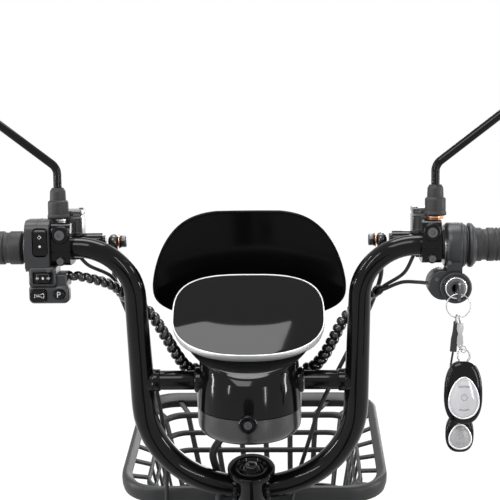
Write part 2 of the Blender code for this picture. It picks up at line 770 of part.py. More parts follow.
def fork_crown():
    """Steerer, crown, both stanchions and the shelf that carries the basket."""
    low = CROWN_LOW
    high = CROWN_TOP
    outline = [(LEG_SPREAD, LEG_OFFSET - 0.022), (LEG_SPREAD + 0.021, LEG_OFFSET - 0.01),
               (LEG_SPREAD + 0.021, LEG_OFFSET + 0.01), (LEG_SPREAD, LEG_OFFSET + 0.022),
               (0.03, LEG_OFFSET + 0.012), (-0.03, LEG_OFFSET + 0.012),
               (-LEG_SPREAD, LEG_OFFSET + 0.022), (-LEG_SPREAD - 0.021, LEG_OFFSET + 0.01),
               (-LEG_SPREAD - 0.021, LEG_OFFSET - 0.01), (-LEG_SPREAD, LEG_OFFSET - 0.022),
               (-0.028, -0.022), (0.028, -0.022)]
    body = plate("crown", outline, steer(0, 0, (low + high) / 2), ACROSS, AHEAD, high - low)
    bevel = body.modifiers.new("edge", "BEVEL")
    bevel.width = 0.004
    bevel.segments = 1
    body.data = bpy.data.meshes.new_from_object(body.evaluated_get(bpy.context.evaluated_depsgraph_get()))
    body.modifiers.clear()
    steerer = rod("steerer", steer(0, 0, low + 0.01), steer(0, 0, BAR_LOW + 0.002), STEERER_RADIUS, 12)
    race = rod("race", steer(0, 0, high - 0.002), steer(0, 0, HEAD_LOW - GAP), HEAD_TUBE_RADIUS, 14)
    legs = [rod("stanchion", steer(side * LEG_SPREAD, LEG_OFFSET, STANCHION_LOW),
                steer(side * LEG_SPREAD, LEG_OFFSET, high - 0.006), STANCHION_RADIUS, 8) for side in (-1, 1)]
    front = steer(0, LEG_OFFSET + 0.006, (low + high) / 2)
    shelf = block("shelf", (-SHELF_HALF, front.y, SHELF_TOP - SHELF_THICKNESS),
                  (SHELF_HALF, front.y + SHELF_LENGTH, SHELF_TOP))
    neck = block("neck", (-SHELF_HALF * 0.6, front.y - 0.012, front.z - 0.006),
                 (SHELF_HALF * 0.6, front.y + 0.012, SHELF_TOP - 0.001))
    join(body, steerer, race, *legs, neck, shelf)
    node("fork_crown", body, "gloss_black_paint", steer(0, 0, 0))


def handlebar():
    """The U-shaped bar with its post, the capped post top and the two crossbar stubs."""
    height = BAR_HEIGHT
    half = bend([(0, 0, 0), (BAR_LEG_HALF - 0.004, 0, 0), (BAR_LEG_HALF, 0, height),
                 (BAR_HALF_WIDTH - 0.002, 0, height)], [BAR_BOTTOM_BEND, BAR_BEND], 3)
    path = [Vector((-p.x, 0, p.z)) for p in reversed(half[1:])] + half
    points = [steer(p.x, 0, BAR_LOW + p.z) for p in path]
    radii = [BAR_RADIUS + (BAR_LOW_RADIUS - BAR_RADIUS) * min(1, max(0, (height - p.z) / (height * 0.6)))
             for p in path]
    body = sweep("handlebar", points, radii, sides=8, hint=AHEAD)
    post_low = HEAD_TOP + GAP + 0.0002
    post_high = BAR_LOW + CAP_RISE
    bore = STEERER_RADIUS + GAP
    profile = [(0, post_low), (POST_RADIUS, post_low), (POST_RADIUS, post_high - CAP_HEIGHT - 0.001),
               (CAP_RADIUS - 0.001, post_high - CAP_HEIGHT), (CAP_RADIUS, post_high - 0.0015),
               (CAP_RADIUS - 0.002, post_high), (0.0135, post_high), (0.012, post_high - 0.003),
               (0.0075, post_high - 0.003), (0.007, post_high + 0.002), (0, post_high + 0.002)]
    post = lathe("post", profile, steer(0, 0, 0), UPWARD, segments=12)
    level = GRIP_S - CROSSBAR_DROP
    stubs = []
    for side in (-1, 1):
        inner = steer(side * (POD_BOSS + GAP), 0, level)
        stub = rod("stub", inner, steer(side * (BAR_LEG_HALF - 0.004), 0, level), CROSSBAR_RADIUS)
        collar = rod("collar", steer(side * (BAR_LEG_HALF - 0.023), 0, level),
                     steer(side * (BAR_LEG_HALF - 0.006), 0, level), CROSSBAR_RADIUS + 0.0015)
        stubs += [stub, collar]
    bore_cut = rod("bore", steer(0, 0, post_low - 0.01), steer(0, 0, BAR_LOW + 0.004), bore, 12)
    join(body, post, *stubs)
    cut(body, bore_cut)
    node("handlebar", body, "gloss_black_paint", steer(0, 0, BAR_LOW))


def grip(name, side):
    """A rubber grip closed at its outer end; side is -1 left or 1 right."""
    bore = BAR_RADIUS + GAP
    inner = GRIP_INNER if side < 0 else THROTTLE_GRIP_INNER
    outer = BAR_HALF_WIDTH + GRIP_CAP
    r = GRIP_RADIUS
    profile = [(0, BAR_HALF_WIDTH - 0.001), (bore, BAR_HALF_WIDTH - 0.001), (bore, inner), (r - 0.003, inner),
               (r, inner + 0.004), (r, outer - 0.006), (r - 0.004, outer), (0, outer)]
    body = lathe(name, profile, GRIP_MIDDLE, side * ACROSS, segments=14)
    return node(name, body, "rubber", GRIP_MIDDLE)


def bar_bore(low, high):
    """The cutter that lets a control sit on the handlebar."""
    return rod("bore", bar(low, 0, 0), bar(high, 0, 0), BAR_RADIUS + GAP, 14)


def side_plate(name, outline, low, high):
    """An outline given ahead and up from the bar, extruded across the bicycle."""
    return plate(name, outline, bar((low + high) / 2, 0, 0), Vector((0, 1, 0)), Vector((0, 0, 1)), high - low)


def switch_housing():
    """Left switch housing: barrel round the bar, lower box and the wells of its four switches."""
    barrel = side_plate("switch_housing", [(u - 0.002, v + 0.0035) for u, v in
                                           rounded_rectangle(0.024, 0.0275, 0.012, 2)],
                        -SWITCH_OUTER + 0.003, -SWITCH_INNER)
    flange = rod("flange", bar(-SWITCH_OUTER, 0, 0.001), bar(-SWITCH_OUTER + 0.004, 0, 0.001), 0.0215, 14)
    turn_box = block("turn_box", bar(-0.2305, -0.027, -0.0405), bar(-0.2028, 0.012, -0.018), 0.003)
    low_box = block("low_box", bar(-0.2320, -0.0235, -0.0580), bar(-0.1885, 0.010, -0.036), 0.004)
    side_box = block("side_box", bar(-0.2040, -0.0215, -0.0415), bar(-0.1905, 0.010, -0.0262))
    join(barrel, flange, turn_box, low_box, side_box)
    wells = [block("well", bar(-0.2290, -0.0300, -0.0075), bar(-0.2105, -0.0188, 0.0232)),
             block("well", bar(-0.2280, -0.0300, -0.0378), bar(-0.2052, -0.0205, -0.0240)),
             block("well", bar(-0.2296, -0.0300, -0.0556), bar(-0.2120, -0.0178, -0.0420)),
             rod("well", bar(-0.1985, -0.0300, -0.0475), bar(-0.1985, -0.0178, -0.0475), 0.0068)]
    relief = rod("relief", bar(-MIRROR_X, MIRROR_AHEAD, 0.0272), bar(-MIRROR_X, MIRROR_AHEAD, 0.05), 0.0110)
    groove = rod("groove", bar(-MIRROR_X, MIRROR_AHEAD, 0.0115), bar(-MIRROR_X, MIRROR_AHEAD, 0.04), 0.0053)
    cut(barrel, bar_bore(-0.24, -0.20), relief, groove, *wells)
    node("switch_housing", barrel, "black_plastic")


def switches():
    rocker = side_plate("beam_rocker", [(-0.0245, 0.0225), (-0.0265, 0.0160), (-0.0248, 0.0079),
                                        (-0.0262, 0.0000), (-0.0245, -0.0068), (-0.0219, -0.0068),
                                        (-0.0219, 0.0225)], -0.2286, -0.2109)
    pivot = bar(-0.21975, -0.0235, 0.0079)
    node("beam_rocker", rocker, "gloss_black_plastic", pivot)
    thumb = block("turn_switch", bar(-0.2236, -0.0298, -0.0375), bar(-0.2096, -0.0208, -0.0243), 0.0012)
    node("turn_switch", thumb, "gloss_black_plastic", bar(-0.2166, -0.0233, -0.0309))
    horn = block("horn_button", bar(-0.2292, -0.0262, -0.0552), bar(-0.2124, -0.0200, -0.0424), 0.0014)
    node("horn_button", horn, "gloss_black_plastic", bar(-0.2208, -0.0262, -0.0488))
    parking = lathe("parking_button", [(0, -0.0062), (0.0052, -0.0062), (0.0064, -0.005), (0.0064, 0),
                                       (0, 0)],
                    bar(-0.1985, -0.0200, -0.0475), Vector((0, 1, 0)), 10)
    node("parking_button", parking, "gloss_black_plastic", bar(-0.1985, -0.0262, -0.0475))


def master_cylinder(name, side):
    """Brake master cylinder: bar clamp, reservoir, cylinder, banjo end and mirror boss."""
    low, high = sorted((side * SWITCH_INNER_GAP, side * CLAMP_INNER))
    outline = [(-0.0185, 0.020), (-0.0125, 0.0275), (0.020, 0.0275), (0.026, 0.018), (0.026, -0.004),
               (0.014, -0.0177), (-0.0145, -0.0177), (-0.0185, -0.013)]
    body = side_plate(name, outline, low, high)
    middle = (low + high) / 2
    bosses = [rod("boss", bar(middle, -0.0215, 0.0155), bar(middle, 0.0, 0.0155), CLAMP_BOLT_RADIUS, 8),
              rod("boss", bar(middle, -0.0205, -0.0160), bar(middle, 0.0, -0.0160), 0.005, 6)]
    barrel_inner = side * 0.1525
    cylinder = rod("cylinder", bar(middle, 0.034, 0.002), bar(side * 0.156, 0.034, 0.002), 0.0095, 8)
    banjo = lathe("banjo", [(0, 0), (0.006, 0), (0.0085, 0.003), (0.0085, 0.008), (0.0062, 0.0100),
                            (0.0062, 0.0165), (0, 0.0165)],
                  bar(barrel_inner, 0.034, 0.002), -side * ACROSS, 6)
    neck = rod("neck", bar(side * 0.157, 0.034, 0.002), bar(barrel_inner - side * 0.001, 0.034, 0.002),
               0.0055, 6)
    tank_x = sorted((side * 0.1800, side * 0.2068))
    tank = block("tank", bar(tank_x[0], 0.022, 0.010), bar(tank_x[1], 0.048, 0.0345))
    lid = block("lid", bar(tank_x[0] - 0.001, 0.021, 0.0335), bar(tank_x[1] + 0.001, 0.049, 0.0385))
    ear = rod("ear", bar(side * LEVER_PIVOT, LEVER_AHEAD, -0.0035),
              bar(side * LEVER_PIVOT, LEVER_AHEAD, 0.006),
              0.0125, 8)
    pin = rod("pin", bar(side * LEVER_PIVOT, LEVER_AHEAD, -0.0185), bar(side * LEVER_PIVOT, LEVER_AHEAD, 0.0),
              LEVER_PIN_RADIUS, 8)
    head = rod("head", bar(side * LEVER_PIVOT, LEVER_AHEAD, -0.0195),
               bar(side * LEVER_PIVOT, LEVER_AHEAD, -0.0165),
               0.0065, 6)
    join(body, *bosses, cylinder, neck, banjo, tank, lid, ear, pin, head)
    socket = rod("socket", bar(side * MIRROR_X, MIRROR_AHEAD, 0.012),
                 bar(side * MIRROR_X, MIRROR_AHEAD, 0.05),
                 MIRROR_ARM_RADIUS + GAP)
    cut(body, bar_bore(low - 0.01, high + 0.01), socket)
    node(name, body, "satin_black_paint")


def brake_lever(name, side):
    """A curved lever blade on its hub, ending in a ball."""
    pivot = bar(side * LEVER_PIVOT, LEVER_AHEAD, 0)
    hub = rod("hub", pivot + Vector((0, 0, -0.0162)), pivot + Vector((0, 0, -0.0038)), 0.0085, 8)
    route = [(0, 0, 0), (0.020, 0.012, 0), (0.055, 0.018, 0.001), (0.10, 0.013, 0.002),
             (LEVER_LENGTH, 0.012, 0.002)]
    points = [pivot + Vector((side * x, y, z - 0.01)) for x, y, z in route]
    section = [(0.005, 0.003), (0, 0.005), (-0.005, 0.003), (-0.005, -0.003), (0, -0.005), (0.005, -0.003)]
    blade = sweep(name, flowing(points, 2), 1.0, hint=Vector((0, 0, 1)), section=section)
    ball = lathe("ball", [(0, -0.0075), (0.0055, -0.0045), (0.0075, 0), (0.0055, 0.0045), (0, 0.0075)],
                 points[-1], ACROSS, 8)
    join(blade, hub, ball)
    bore = rod("bore", pivot + Vector((0, 0, -0.03)), pivot + Vector((0, 0, 0.01)), LEVER_PIN_RADIUS + GAP, 8)
    cut(blade, bore)
    node(name, blade, "satin_black_paint", pivot)


def mirror(side):
    """Mirror arm, its rubber boot and the mirror head on the ball at the arm's end."""
    label = "left" if side < 0 else "right"
    foot = bar(side * MIRROR_X, MIRROR_AHEAD, 0.0135)
    elbow = bar(side * MIRROR_X, MIRROR_AHEAD, MIRROR_BEND_RISE)
    slope = Vector((side * math.cos(MIRROR_ARM_SLOPE), 0, math.sin(MIRROR_ARM_SLOPE)))
    tip = elbow + MIRROR_ARM_LENGTH * slope
    arm = sweep("arm", bend([foot, elbow, tip], [0.014], 3), MIRROR_ARM_RADIUS, sides=10,
                hint=Vector((0, 1, 0)))
    ball = lathe("ball", [(0, -MIRROR_BALL_RADIUS)] +
                 [(MIRROR_BALL_RADIUS * math.cos(a), MIRROR_BALL_RADIUS * math.sin(a))
                  for a in [math.radians(d) for d in (-54, -18, 18, 54)]] + [(0, MIRROR_BALL_RADIUS)],
                 tip, Vector((0, 1, 0)), 8)
    join(arm, ball)
    node("mirror_arm_" + label, arm, "gloss_black_paint", foot)
    bore = MIRROR_ARM_RADIUS + GAP
    boot = lathe("boot", [(bore, 0), (0.0098, 0), (0.0102, 0.017), (0.0088, 0.0185), (0.0086, 0.0305),
                          (0.0066, 0.0325), (bore, 0.0325)],
                 bar(side * MIRROR_X, MIRROR_AHEAD, 0.0278), Vector((0, 0, 1)), 10, ring=True)
    node("mirror_boot_" + label, boot, "rubber")
    centre = tip + Vector((side * 0.006, 0.0, 0.010))
    rings = []
    for share, depth in ((0.97, -0.003), (1.0, 0.006), (0.86, 0.015), (0.45, 0.0212)):
        rings.append([centre + Vector((u * share, depth - 0.034, v * share)) for u, v in
                      oval(MIRROR_HALF_WIDTH, MIRROR_HALF_HEIGHT, 14, 3.0)])
    head = skin("head", rings)
    neck = lathe("neck", [(0, -0.018), (0.0095, -0.018), (0.0065, -0.0064), (0, -0.0064)], tip,
                 Vector((0, 1, 0)), 10)
    glass = plate("glass", oval(MIRROR_HALF_WIDTH * 0.88, MIRROR_HALF_HEIGHT * 0.85, 14, 3.0),
                  centre + Vector((0, -0.0375, 0)), ACROSS, Vector((0, 0, 1)), 0.002)
    join(head, neck)
    socket = lathe("socket", [(0, -MIRROR_BALL_RADIUS - GAP)] +
                   [((MIRROR_BALL_RADIUS + GAP) * math.cos(a) * 1.03,
                     (MIRROR_BALL_RADIUS + GAP) * math.sin(a) * 1.03)
                    for a in [math.radians(d) for d in (-54, -18, 18, 54)]] +
                    [(0, MIRROR_BALL_RADIUS + 0.004)],
                   tip, Vector((0, 1, 0)), 8)
    cut(head, glass, socket)
    node("mirror_head_" + label, head, "black_plastic", tip)


def throttle_housing():
    """Right control: barrel round the bar and the ignition lock below it."""
    barrel = lathe("throttle_housing", [(0, 0.2112), (0.0235, 0.2112), (0.0245, 0.2122), (0.0245, 0.2303),
                                        (0.0232, 0.2313), (0.0232, 0.2345), (0, 0.2345)],
                   bar(0, 0, -0.0005), ACROSS, 14)
    neck = block("neck", bar(0.2127, -0.0190, -0.046), bar(0.2289, 0.0113, -0.010))
    lock = lathe("lock", [(0, -0.0265), (0.0105, -0.0265), (0.0125, -0.0225), (0.0150, -0.0235),
                          (0.0170, -0.0215),
                          (0.0170, 0.0125), (0, 0.0125)], bar(LOCK_X, 0, -LOCK_DROP), Vector((0, 1, 0)), 12)
    ear = rod("ear", bar(LOCK_X - 0.0125, -0.0165, -LOCK_DROP + 0.0023),
              bar(LOCK_X - 0.0125, 0.0121, -LOCK_DROP + 0.0023),
              0.0163, 10)
    join(lock, ear, neck)
    join(barrel, lock)
    keyway = rod("keyway", bar(LOCK_X, -0.05, -LOCK_DROP), bar(LOCK_X, -0.0035, -LOCK_DROP), 0.0045)
    cut(barrel, bar_bore(0.20, 0.24), keyway)
    node("throttle_housing", barrel, "black_plastic")


def keys():
    """The key in its lock, the ring through its bow, and the two remotes that hang from the ring."""
    lock = bar(LOCK_X, 0, -LOCK_DROP)
    bow_y = -0.0405
    bow = plate("bow", oval(0.0115, 0.010, 14, 2.4), lock + Vector((0, bow_y, 0)), Vector((0, 1, 0)),
                Vector((0, 0, 1)), 0.0024)
    blade = block("blade", lock + Vector((-0.0011, bow_y + 0.009, -0.0035)), lock +
                  Vector((0.0011, -0.006, 0.0035)))
    join(bow, blade)
    hole = rod("hole", lock + Vector((-0.01, bow_y, 0)), lock + Vector((0.01, bow_y, 0)), KEY_HOLE)
    cut(bow, hole)
    node("key", bow, "bright_metal", lock)
    hang = lock + Vector((0, bow_y, -KEY_HOLE + RING_WIRE + 0.0008))
    middle = hang - RING_RADIUS * Vector((0, 0, 1))
    ring = sweep("ring", [middle + RING_RADIUS * Vector((math.sin(a), 0, math.cos(a)))
                          for a in [2 * math.pi * k / 14 for k in range(14)]], RING_WIRE, sides=4,
                          closed=True,
                 hint=Vector((0, 1, 0)))
    node("key_ring", ring, "bright_metal", hang)
    for label, lean, ahead, top, low, half_w, half_h in (
            ("remote_fob_a", 0.012, 0.0, 0.1235, 0.191, 0.0195, 0.0325),
            ("remote_fob_b", -0.55, 0.017, 0.1790, 0.2200, 0.0150, 0.0200)):
        out = Vector((math.sin(lean), 0, -math.cos(lean)))
        loop_at = middle + RING_RADIUS * out
        eye = loop_at + (LINK_RADIUS - 2 * RING_WIRE - GAP) * out
        link = sweep("link", [eye + LINK_RADIUS * (math.cos(a) * out + math.sin(a) * Vector((0, 1, 0)))
                              for a in [2 * math.pi * k / 8 for k in range(8)]], RING_WIRE, sides=4,
                     closed=True, hint=Vector((math.cos(lean), 0, math.sin(lean))))
        fob_x = bar(0.2305, 0, 0).x if label == "remote_fob_a" else bar(0.2270, 0, 0).x
        start = eye + (LINK_RADIUS + 0.0004) * out
        head = Vector((fob_x, loop_at.y + ahead, bar(0, 0, -top).z))
        if label == "remote_fob_a":
            clip = block("clip", start + Vector((-0.003, -0.0016, -0.026)), start +
                         Vector((0.003, 0.0016, 0.0009)))
            cord = sweep("cord", [start - Vector((0, 0, 0.025)), head - Vector((0, 0, 0.002))], 0.0016,
                         sides=4)
            body_parts = [clip, cord]
        else:
            strap = block("strap", start + Vector((-0.0037, -0.0010, -0.030)),
                          start + Vector((0.0037, 0.0010, 0.0009)))
            cord = sweep("cord", flowing([start - Vector((0, 0, 0.029)), start +
                                          Vector((-0.003, 0.011, -0.055)),
                                          head + Vector((-0.003, 0, 0.020)), head - Vector((0, 0, 0.002))],
                                          3),
                         0.0012, sides=4)
            body_parts = [strap, cord]
        centre = Vector((fob_x, head.y, bar(0, 0, -(top + low) / 2).z))
        outline = [(u * (1 + 0.12 * v / half_h), v) for u, v in oval(half_w, half_h + 0.001, 12, 2.5)]
        shell = skin(label, [[centre + Vector((u * share, depth, v * share)) for u, v in outline]
                             for depth, share in ((-0.0058, 0.86), (-0.0040, 1), (0.0040, 1),
                                                  (0.0058, 0.86))])
        join(shell, *body_parts, link)
        node(label, shell, "gloss_black_plastic", loop_at)


# Lamp pod

def tipped_ring(near_y, near_z, half_x, half_y, tilt, count, power):
    """A pod section: an oval hinged at its edge nearest the rider, tipped up towards the dash."""
    along = Vector((0, math.cos(tilt), math.sin(tilt)))
    centre = bar(0, near_y, near_z) + half_y * along
    return [centre + u * ACROSS + v * along for u, v in oval(half_x, half_y, count, power, math.pi / 2)]


def lamp_housing():
    """The pod: a round cup, a waist, a flare up to the oval dash, and the lamp barrel facing forwards."""
    count = 16
    rings = []
    for drop, radius in ((POD_FLOOR, 0.45), (POD_FLOOR - 0.007, 0.90),
                         (POD_FLOOR - 0.020, 1.0), (POD_FLOOR - 0.046, 1.0), (POD_FLOOR - 0.066, 0.955),
                         (POD_FLOOR - 0.078, 0.86)):
        lean = math.radians(4)
        size = radius * POD_RADIUS
        rings.append(tipped_ring(POD_AHEAD - size, -drop - size * math.sin(lean), size, size, lean, count, 2))
    rings.append(tipped_ring(0.0165, -0.1465, 0.046, 0.042, math.radians(12), count, 2.1))
    rings.append(tipped_ring(0.0195, -0.1440, 0.060, 0.046, math.radians(28), count, 2.3))
    rings.append(tipped_ring(0.0215, -0.1405, 0.077, 0.050, math.radians(44), count, 2.6))
    face = Vector((0, -math.sin(DASH_TILT), math.cos(DASH_TILT)))
    along = Vector((0, math.cos(DASH_TILT), math.sin(DASH_TILT)))
    dash = bar(0, DASH_AHEAD, -DASH_DROP)
    for back, share in ((BEZEL_DEPTH - 0.001, 0.985), (BEZEL_DEPTH - 0.003, 0.99)):
        rings.append([dash - back * face + share * (u * ACROSS + v * along)
                      for u, v in oval(DASH_HALF_WIDTH, DASH_HALF_HEIGHT, count, DASH_POWER, math.pi / 2)])
    body = skin("lamp_housing", rings)
    lamp = bar(0, POD_AHEAD + 0.015, -LAMP_DROP)
    tip = LAMP_AHEAD - POD_AHEAD - 0.015
    barrel = lathe("barrel", [(0, 0), (LAMP_RADIUS - 0.012, 0), (LAMP_RADIUS, 0.02),
                              (LAMP_RADIUS, tip - 0.002),
                              (LAMP_RADIUS - 0.002, tip), (LAMP_RADIUS - 0.006, tip),
                              (LAMP_RADIUS - 0.008, tip - 0.012),
                              (0, tip - 0.014)], lamp, Vector((0, 1, 0)), 14)
    bosses = [rod("boss", bar(side * 0.050, POD_AHEAD - 0.0035, -LAMP_DROP + 0.0135),
                  bar(side * POD_BOSS, POD_AHEAD - 0.0035, -LAMP_DROP + 0.0135), CROSSBAR_RADIUS + 0.0035, 8)
              for side in (-1, 1)]
    screw = rod("screw", bar(0, POD_AHEAD - POD_RADIUS - 0.0035, -0.1955), bar(0, POD_AHEAD - 0.04, -0.1955),
                0.0105, 10)
    lugs = []
    for side in (-1, 1):
        spot, out = visor_mount(side)
        lugs.append(rod("lug", spot - 0.04 * out, spot - 0.0012 * out, 0.006, 8))
        lugs.append(rod("bolt", spot - 0.02 * out, spot + (VISOR_WALL + 0.003) * out, VISOR_BOLT, 6))
    join(body, barrel, *bosses, screw, *lugs)
    node("lamp_housing", body, "gloss_black_plastic")
    lens = lathe("lens", [(0, tip - 0.0136), (LAMP_RADIUS - 0.0084, tip - 0.0116),
                          (LAMP_RADIUS - 0.0070, tip - 0.004),
                          (LAMP_RADIUS - 0.018, tip + 0.0005), (LAMP_RADIUS - 0.034, tip + 0.003),
                          (0, tip + 0.0035)],
                 lamp, Vector((0, 1, 0)), 14)
    node("headlamp_lens", lens, "clear_lens")


def dash():
    """The oval dash: a deep bright bezel and the glass screen inside it."""
    face = Vector((0, -math.sin(DASH_TILT), math.cos(DASH_TILT)))
    along = Vector((0, math.cos(DASH_TILT), math.sin(DASH_TILT)))
    centre = bar(0, DASH_AHEAD, -DASH_DROP)

    def level(back, inset, count=20):
        return [centre - back * face + u * ACROSS + v * along for u, v in
                oval(DASH_HALF_WIDTH - inset, DASH_HALF_HEIGHT - inset, count, DASH_POWER, math.pi / 2)]

    bezel = skin("bezel", [level(BEZEL_DEPTH - 0.003 - GAP, 0.003), level(0.0015, 0),
                           level(-0.001, 0.002), level(0.001, BEZEL_BAND),
                           level(BEZEL_DEPTH - 0.003 - GAP, BEZEL_BAND)], closed=True)
    node("dash_bezel", bezel, "bright_metal")
    screen = skin("screen", [level(BEZEL_DEPTH - 0.003 - GAP, BEZEL_BAND + GAP),
                             level(0.0035, BEZEL_BAND + GAP),
                             level(0.0022, BEZEL_BAND + 0.003), level(0.0005, BEZEL_BAND + 0.022)])
    node("dash_screen", screen, "screen_glass")


def visor_half(share):
    """Half width of the visor at a share of its height down from the top."""
    top = 1 - (1 - min(share / 0.55, 1)) ** 2.6
    low = 1 - 0.22 * max(0, (share - 0.8) / 0.2) ** 2
    return VISOR_HALF_WIDTH * top * low * (0.93 + 0.07 * min(1, share / 0.7))


def visor_point(across, share, back=0.0):
    """A point of the visor: across from -1 to 1, share of the height down, and back towards the rider."""
    half = visor_half(max(share, 0.035))
    x = across * half
    wrap = 0.030 * (x / VISOR_HALF_WIDTH) ** 2
    y = VISOR_AHEAD - 0.040 * (1 - share) ** 1.4 - wrap - back
    return bar(x, y, VISOR_TOP - share * VISOR_DEPTH)


def visor_mount(side):
    """The place of a visor bolt on the back of the visor, and the direction out of the sheet there."""
    spot = visor_point(side * 0.41, 0.85)
    sideways = visor_point(side * 0.41 + 0.01, 0.85) - spot
    down = visor_point(side * 0.41, 0.86) - spot
    out = down.cross(sideways).normalized()
    return spot, out if out.y > 0 else -out


def visor():
    """A curved windscreen sheet, domed across and leaning back at its top."""
    columns = 8
    rows = 5
    front = []
    rear = []
    for i in range(rows + 1):
        share = 0.035 + 0.965 * (i / rows) ** 1.25
        for j in range(columns + 1):
            across = math.sin(math.pi / 2 * (j / columns * 2 - 1))
            front.append(visor_point(across, share, -VISOR_WALL))
            rear.append(visor_point(across, share, 0.0))
    corners = front + rear
    count = len(front)
    wide = columns + 1
    faces = []
    for i in range(rows):
        for j in range(columns):
            a = i * wide + j
            faces.append((a, a + 1, a + wide + 1, a + wide))
            faces.append((count + a, count + a + wide, count + a + wide + 1, count + a + 1))
    edge = [j for j in range(columns)] + [i * wide + columns for i in range(rows)]
    edge += [rows * wide + j for j in range(columns, 0, -1)] + [i * wide for i in range(rows, 0, -1)]
    for k, a in enumerate(edge):
        b = edge[(k + 1) % len(edge)]
        faces.append((a, b, count + b, count + a))
    sheet = mesh_object("visor", corners, faces)
    for side in (-1, 1):
        spot, out = visor_mount(side)
        cut(sheet, rod("hole", spot - 0.008 * out, spot + 0.012 * out, VISOR_BOLT + GAP, 6))
    node("visor", sheet, "gloss_black_plastic")


# Basket

def side_marks(half, corner, slots, bar):
    """Places along a straight side where its slots begin and end."""
    straight = 2 * (half - corner)
    slot = (straight - (slots + 1) * bar) / slots
    marks = []
    for k in range(slots):
        first = -half + corner + bar + k * (slot + bar)
        marks += [first, first + slot]
    return marks


def basket_loop(inset, rise, radius, floor=None):
    """One loop of the basket: inset from the rim, and above its tilted plane or at a floor height."""
    half = BASKET_HALF_WIDTH - inset
    depth = BASKET_DEPTH / 2 - inset
    wide = side_marks(half, radius, BASKET_BARS, BASKET_BAR)
    deep = side_marks(depth, radius, BASKET_BARS - 1, BASKET_BAR)
    around = [(half, y) for y in deep] + corner_arc(half, depth, radius, 0)
    around += [(-x, depth) for x in wide] + corner_arc(half, depth, radius, 1)
    around += [(-half, -y) for y in deep] + corner_arc(half, depth, radius, 2)
    around += [(x, -depth) for x in wide] + corner_arc(half, depth, radius, 3)
    centre = BASKET_NEAR + Vector((0, BASKET_DEPTH / 2, 0))
    loop = []
    for x, y in around:
        height = centre.z + (y + BASKET_DEPTH / 2) * math.tan(BASKET_TILT) + rise
        loop.append(Vector((x, centre.y + y, height if floor is None else floor)))
    return loop


def corner_arc(half_width, half_depth, radius, turn):
    """Three points of a rectangle's rounded corner, the corners numbered round from +X +Y."""
    sx, sy = ((1, 1), (-1, 1), (-1, -1), (1, -1))[turn]
    arc = []
    for k in range(3):
        angle = math.radians(90) * (turn + k / 2)
        arc.append((sx * (half_width - radius) + radius * math.cos(angle),
                    sy * (half_depth - radius) + radius * math.sin(angle)))
    return arc


def basket():
    """A moulded basket: thick rim, slotted shoulder, barred walls and a slotted floor."""
    floor = BASKET_FLOOR
    wall = BASKET_WALL
    outer = [basket_loop(0.050, 0, 0.034, floor), basket_loop(0.046, 0, 0.036, floor + 0.022),
             basket_loop(0.040, -0.070, 0.036), basket_loop(0.039, -0.062, 0.036),
             basket_loop(0.035, -0.030, 0.036), basket_loop(0.030, -0.014, 0.036),
             basket_loop(0.009, -0.004, 0.046), basket_loop(0.0, 0.001, 0.050)]
    inner = [basket_loop(0.050 + wall, 0, 0.030, floor + wall),
             basket_loop(0.046 + wall, 0, 0.032, floor + 0.022),
             basket_loop(0.040 + wall, -0.070, 0.032), basket_loop(0.039 + wall, -0.062, 0.032),
             basket_loop(0.035 + wall, -0.029, 0.032), basket_loop(0.030 + wall, -0.010, 0.032),
             basket_loop(0.0125, -0.0005, 0.044), basket_loop(0.0065, 0.0055, 0.046)]

    def is_open(row, column):
        return row in (1, 3, 5) and column in BASKET_SLOTS

    body = pierced("basket", outer, inner, is_open)
    middle = BASKET_NEAR.y + BASKET_DEPTH / 2
    slots = []
    for k in range(5):
        y = middle + (k - 2) * 0.034
        slots.append(block("slot", (-0.085, y - 0.008, floor - 0.02), (0.085, y + 0.008, floor + 0.02)))
    cut(body, *slots)
    node("basket", body, "basket_plastic")


# Looms and hoses

def beaded(name, points, pitch):
    """A spiral-wrapped loom: its radius swells and narrows once a wrap along a smooth route."""
    route = flowing(points, 8)
    lengths = [0.0]
    for before, after in zip(route, route[1:]):
        lengths.append(lengths[-1] + (after - before).length)
    total = lengths[-1]
    wraps = round(total / pitch)
    stations = [0.0, LOOM_RADIUS / total]
    for k in range(1, 2 * wraps):
        stations.append(stations[1] + (1 - 2 * stations[1]) * k / (2 * wraps))
    stations += [1 - stations[1], 1.0]
    rings = []
    radii = []
    for number, share in enumerate(stations):
        reach = share * total
        k = max(i for i, length in enumerate(lengths) if length <= reach + 1e-9)
        k = min(k, len(route) - 2)
        blend = (reach - lengths[k]) / (lengths[k + 1] - lengths[k])
        rings.append(route[k].lerp(route[k + 1], blend))
        radii.append(LOOM_RADIUS * (1.0 if number % 2 else 0.72))
    return sweep(name, rings, radii, sides=5)


def cable(name, points, radius, steps=2):
    return sweep(name, flowing(points, steps), radius, sides=5)


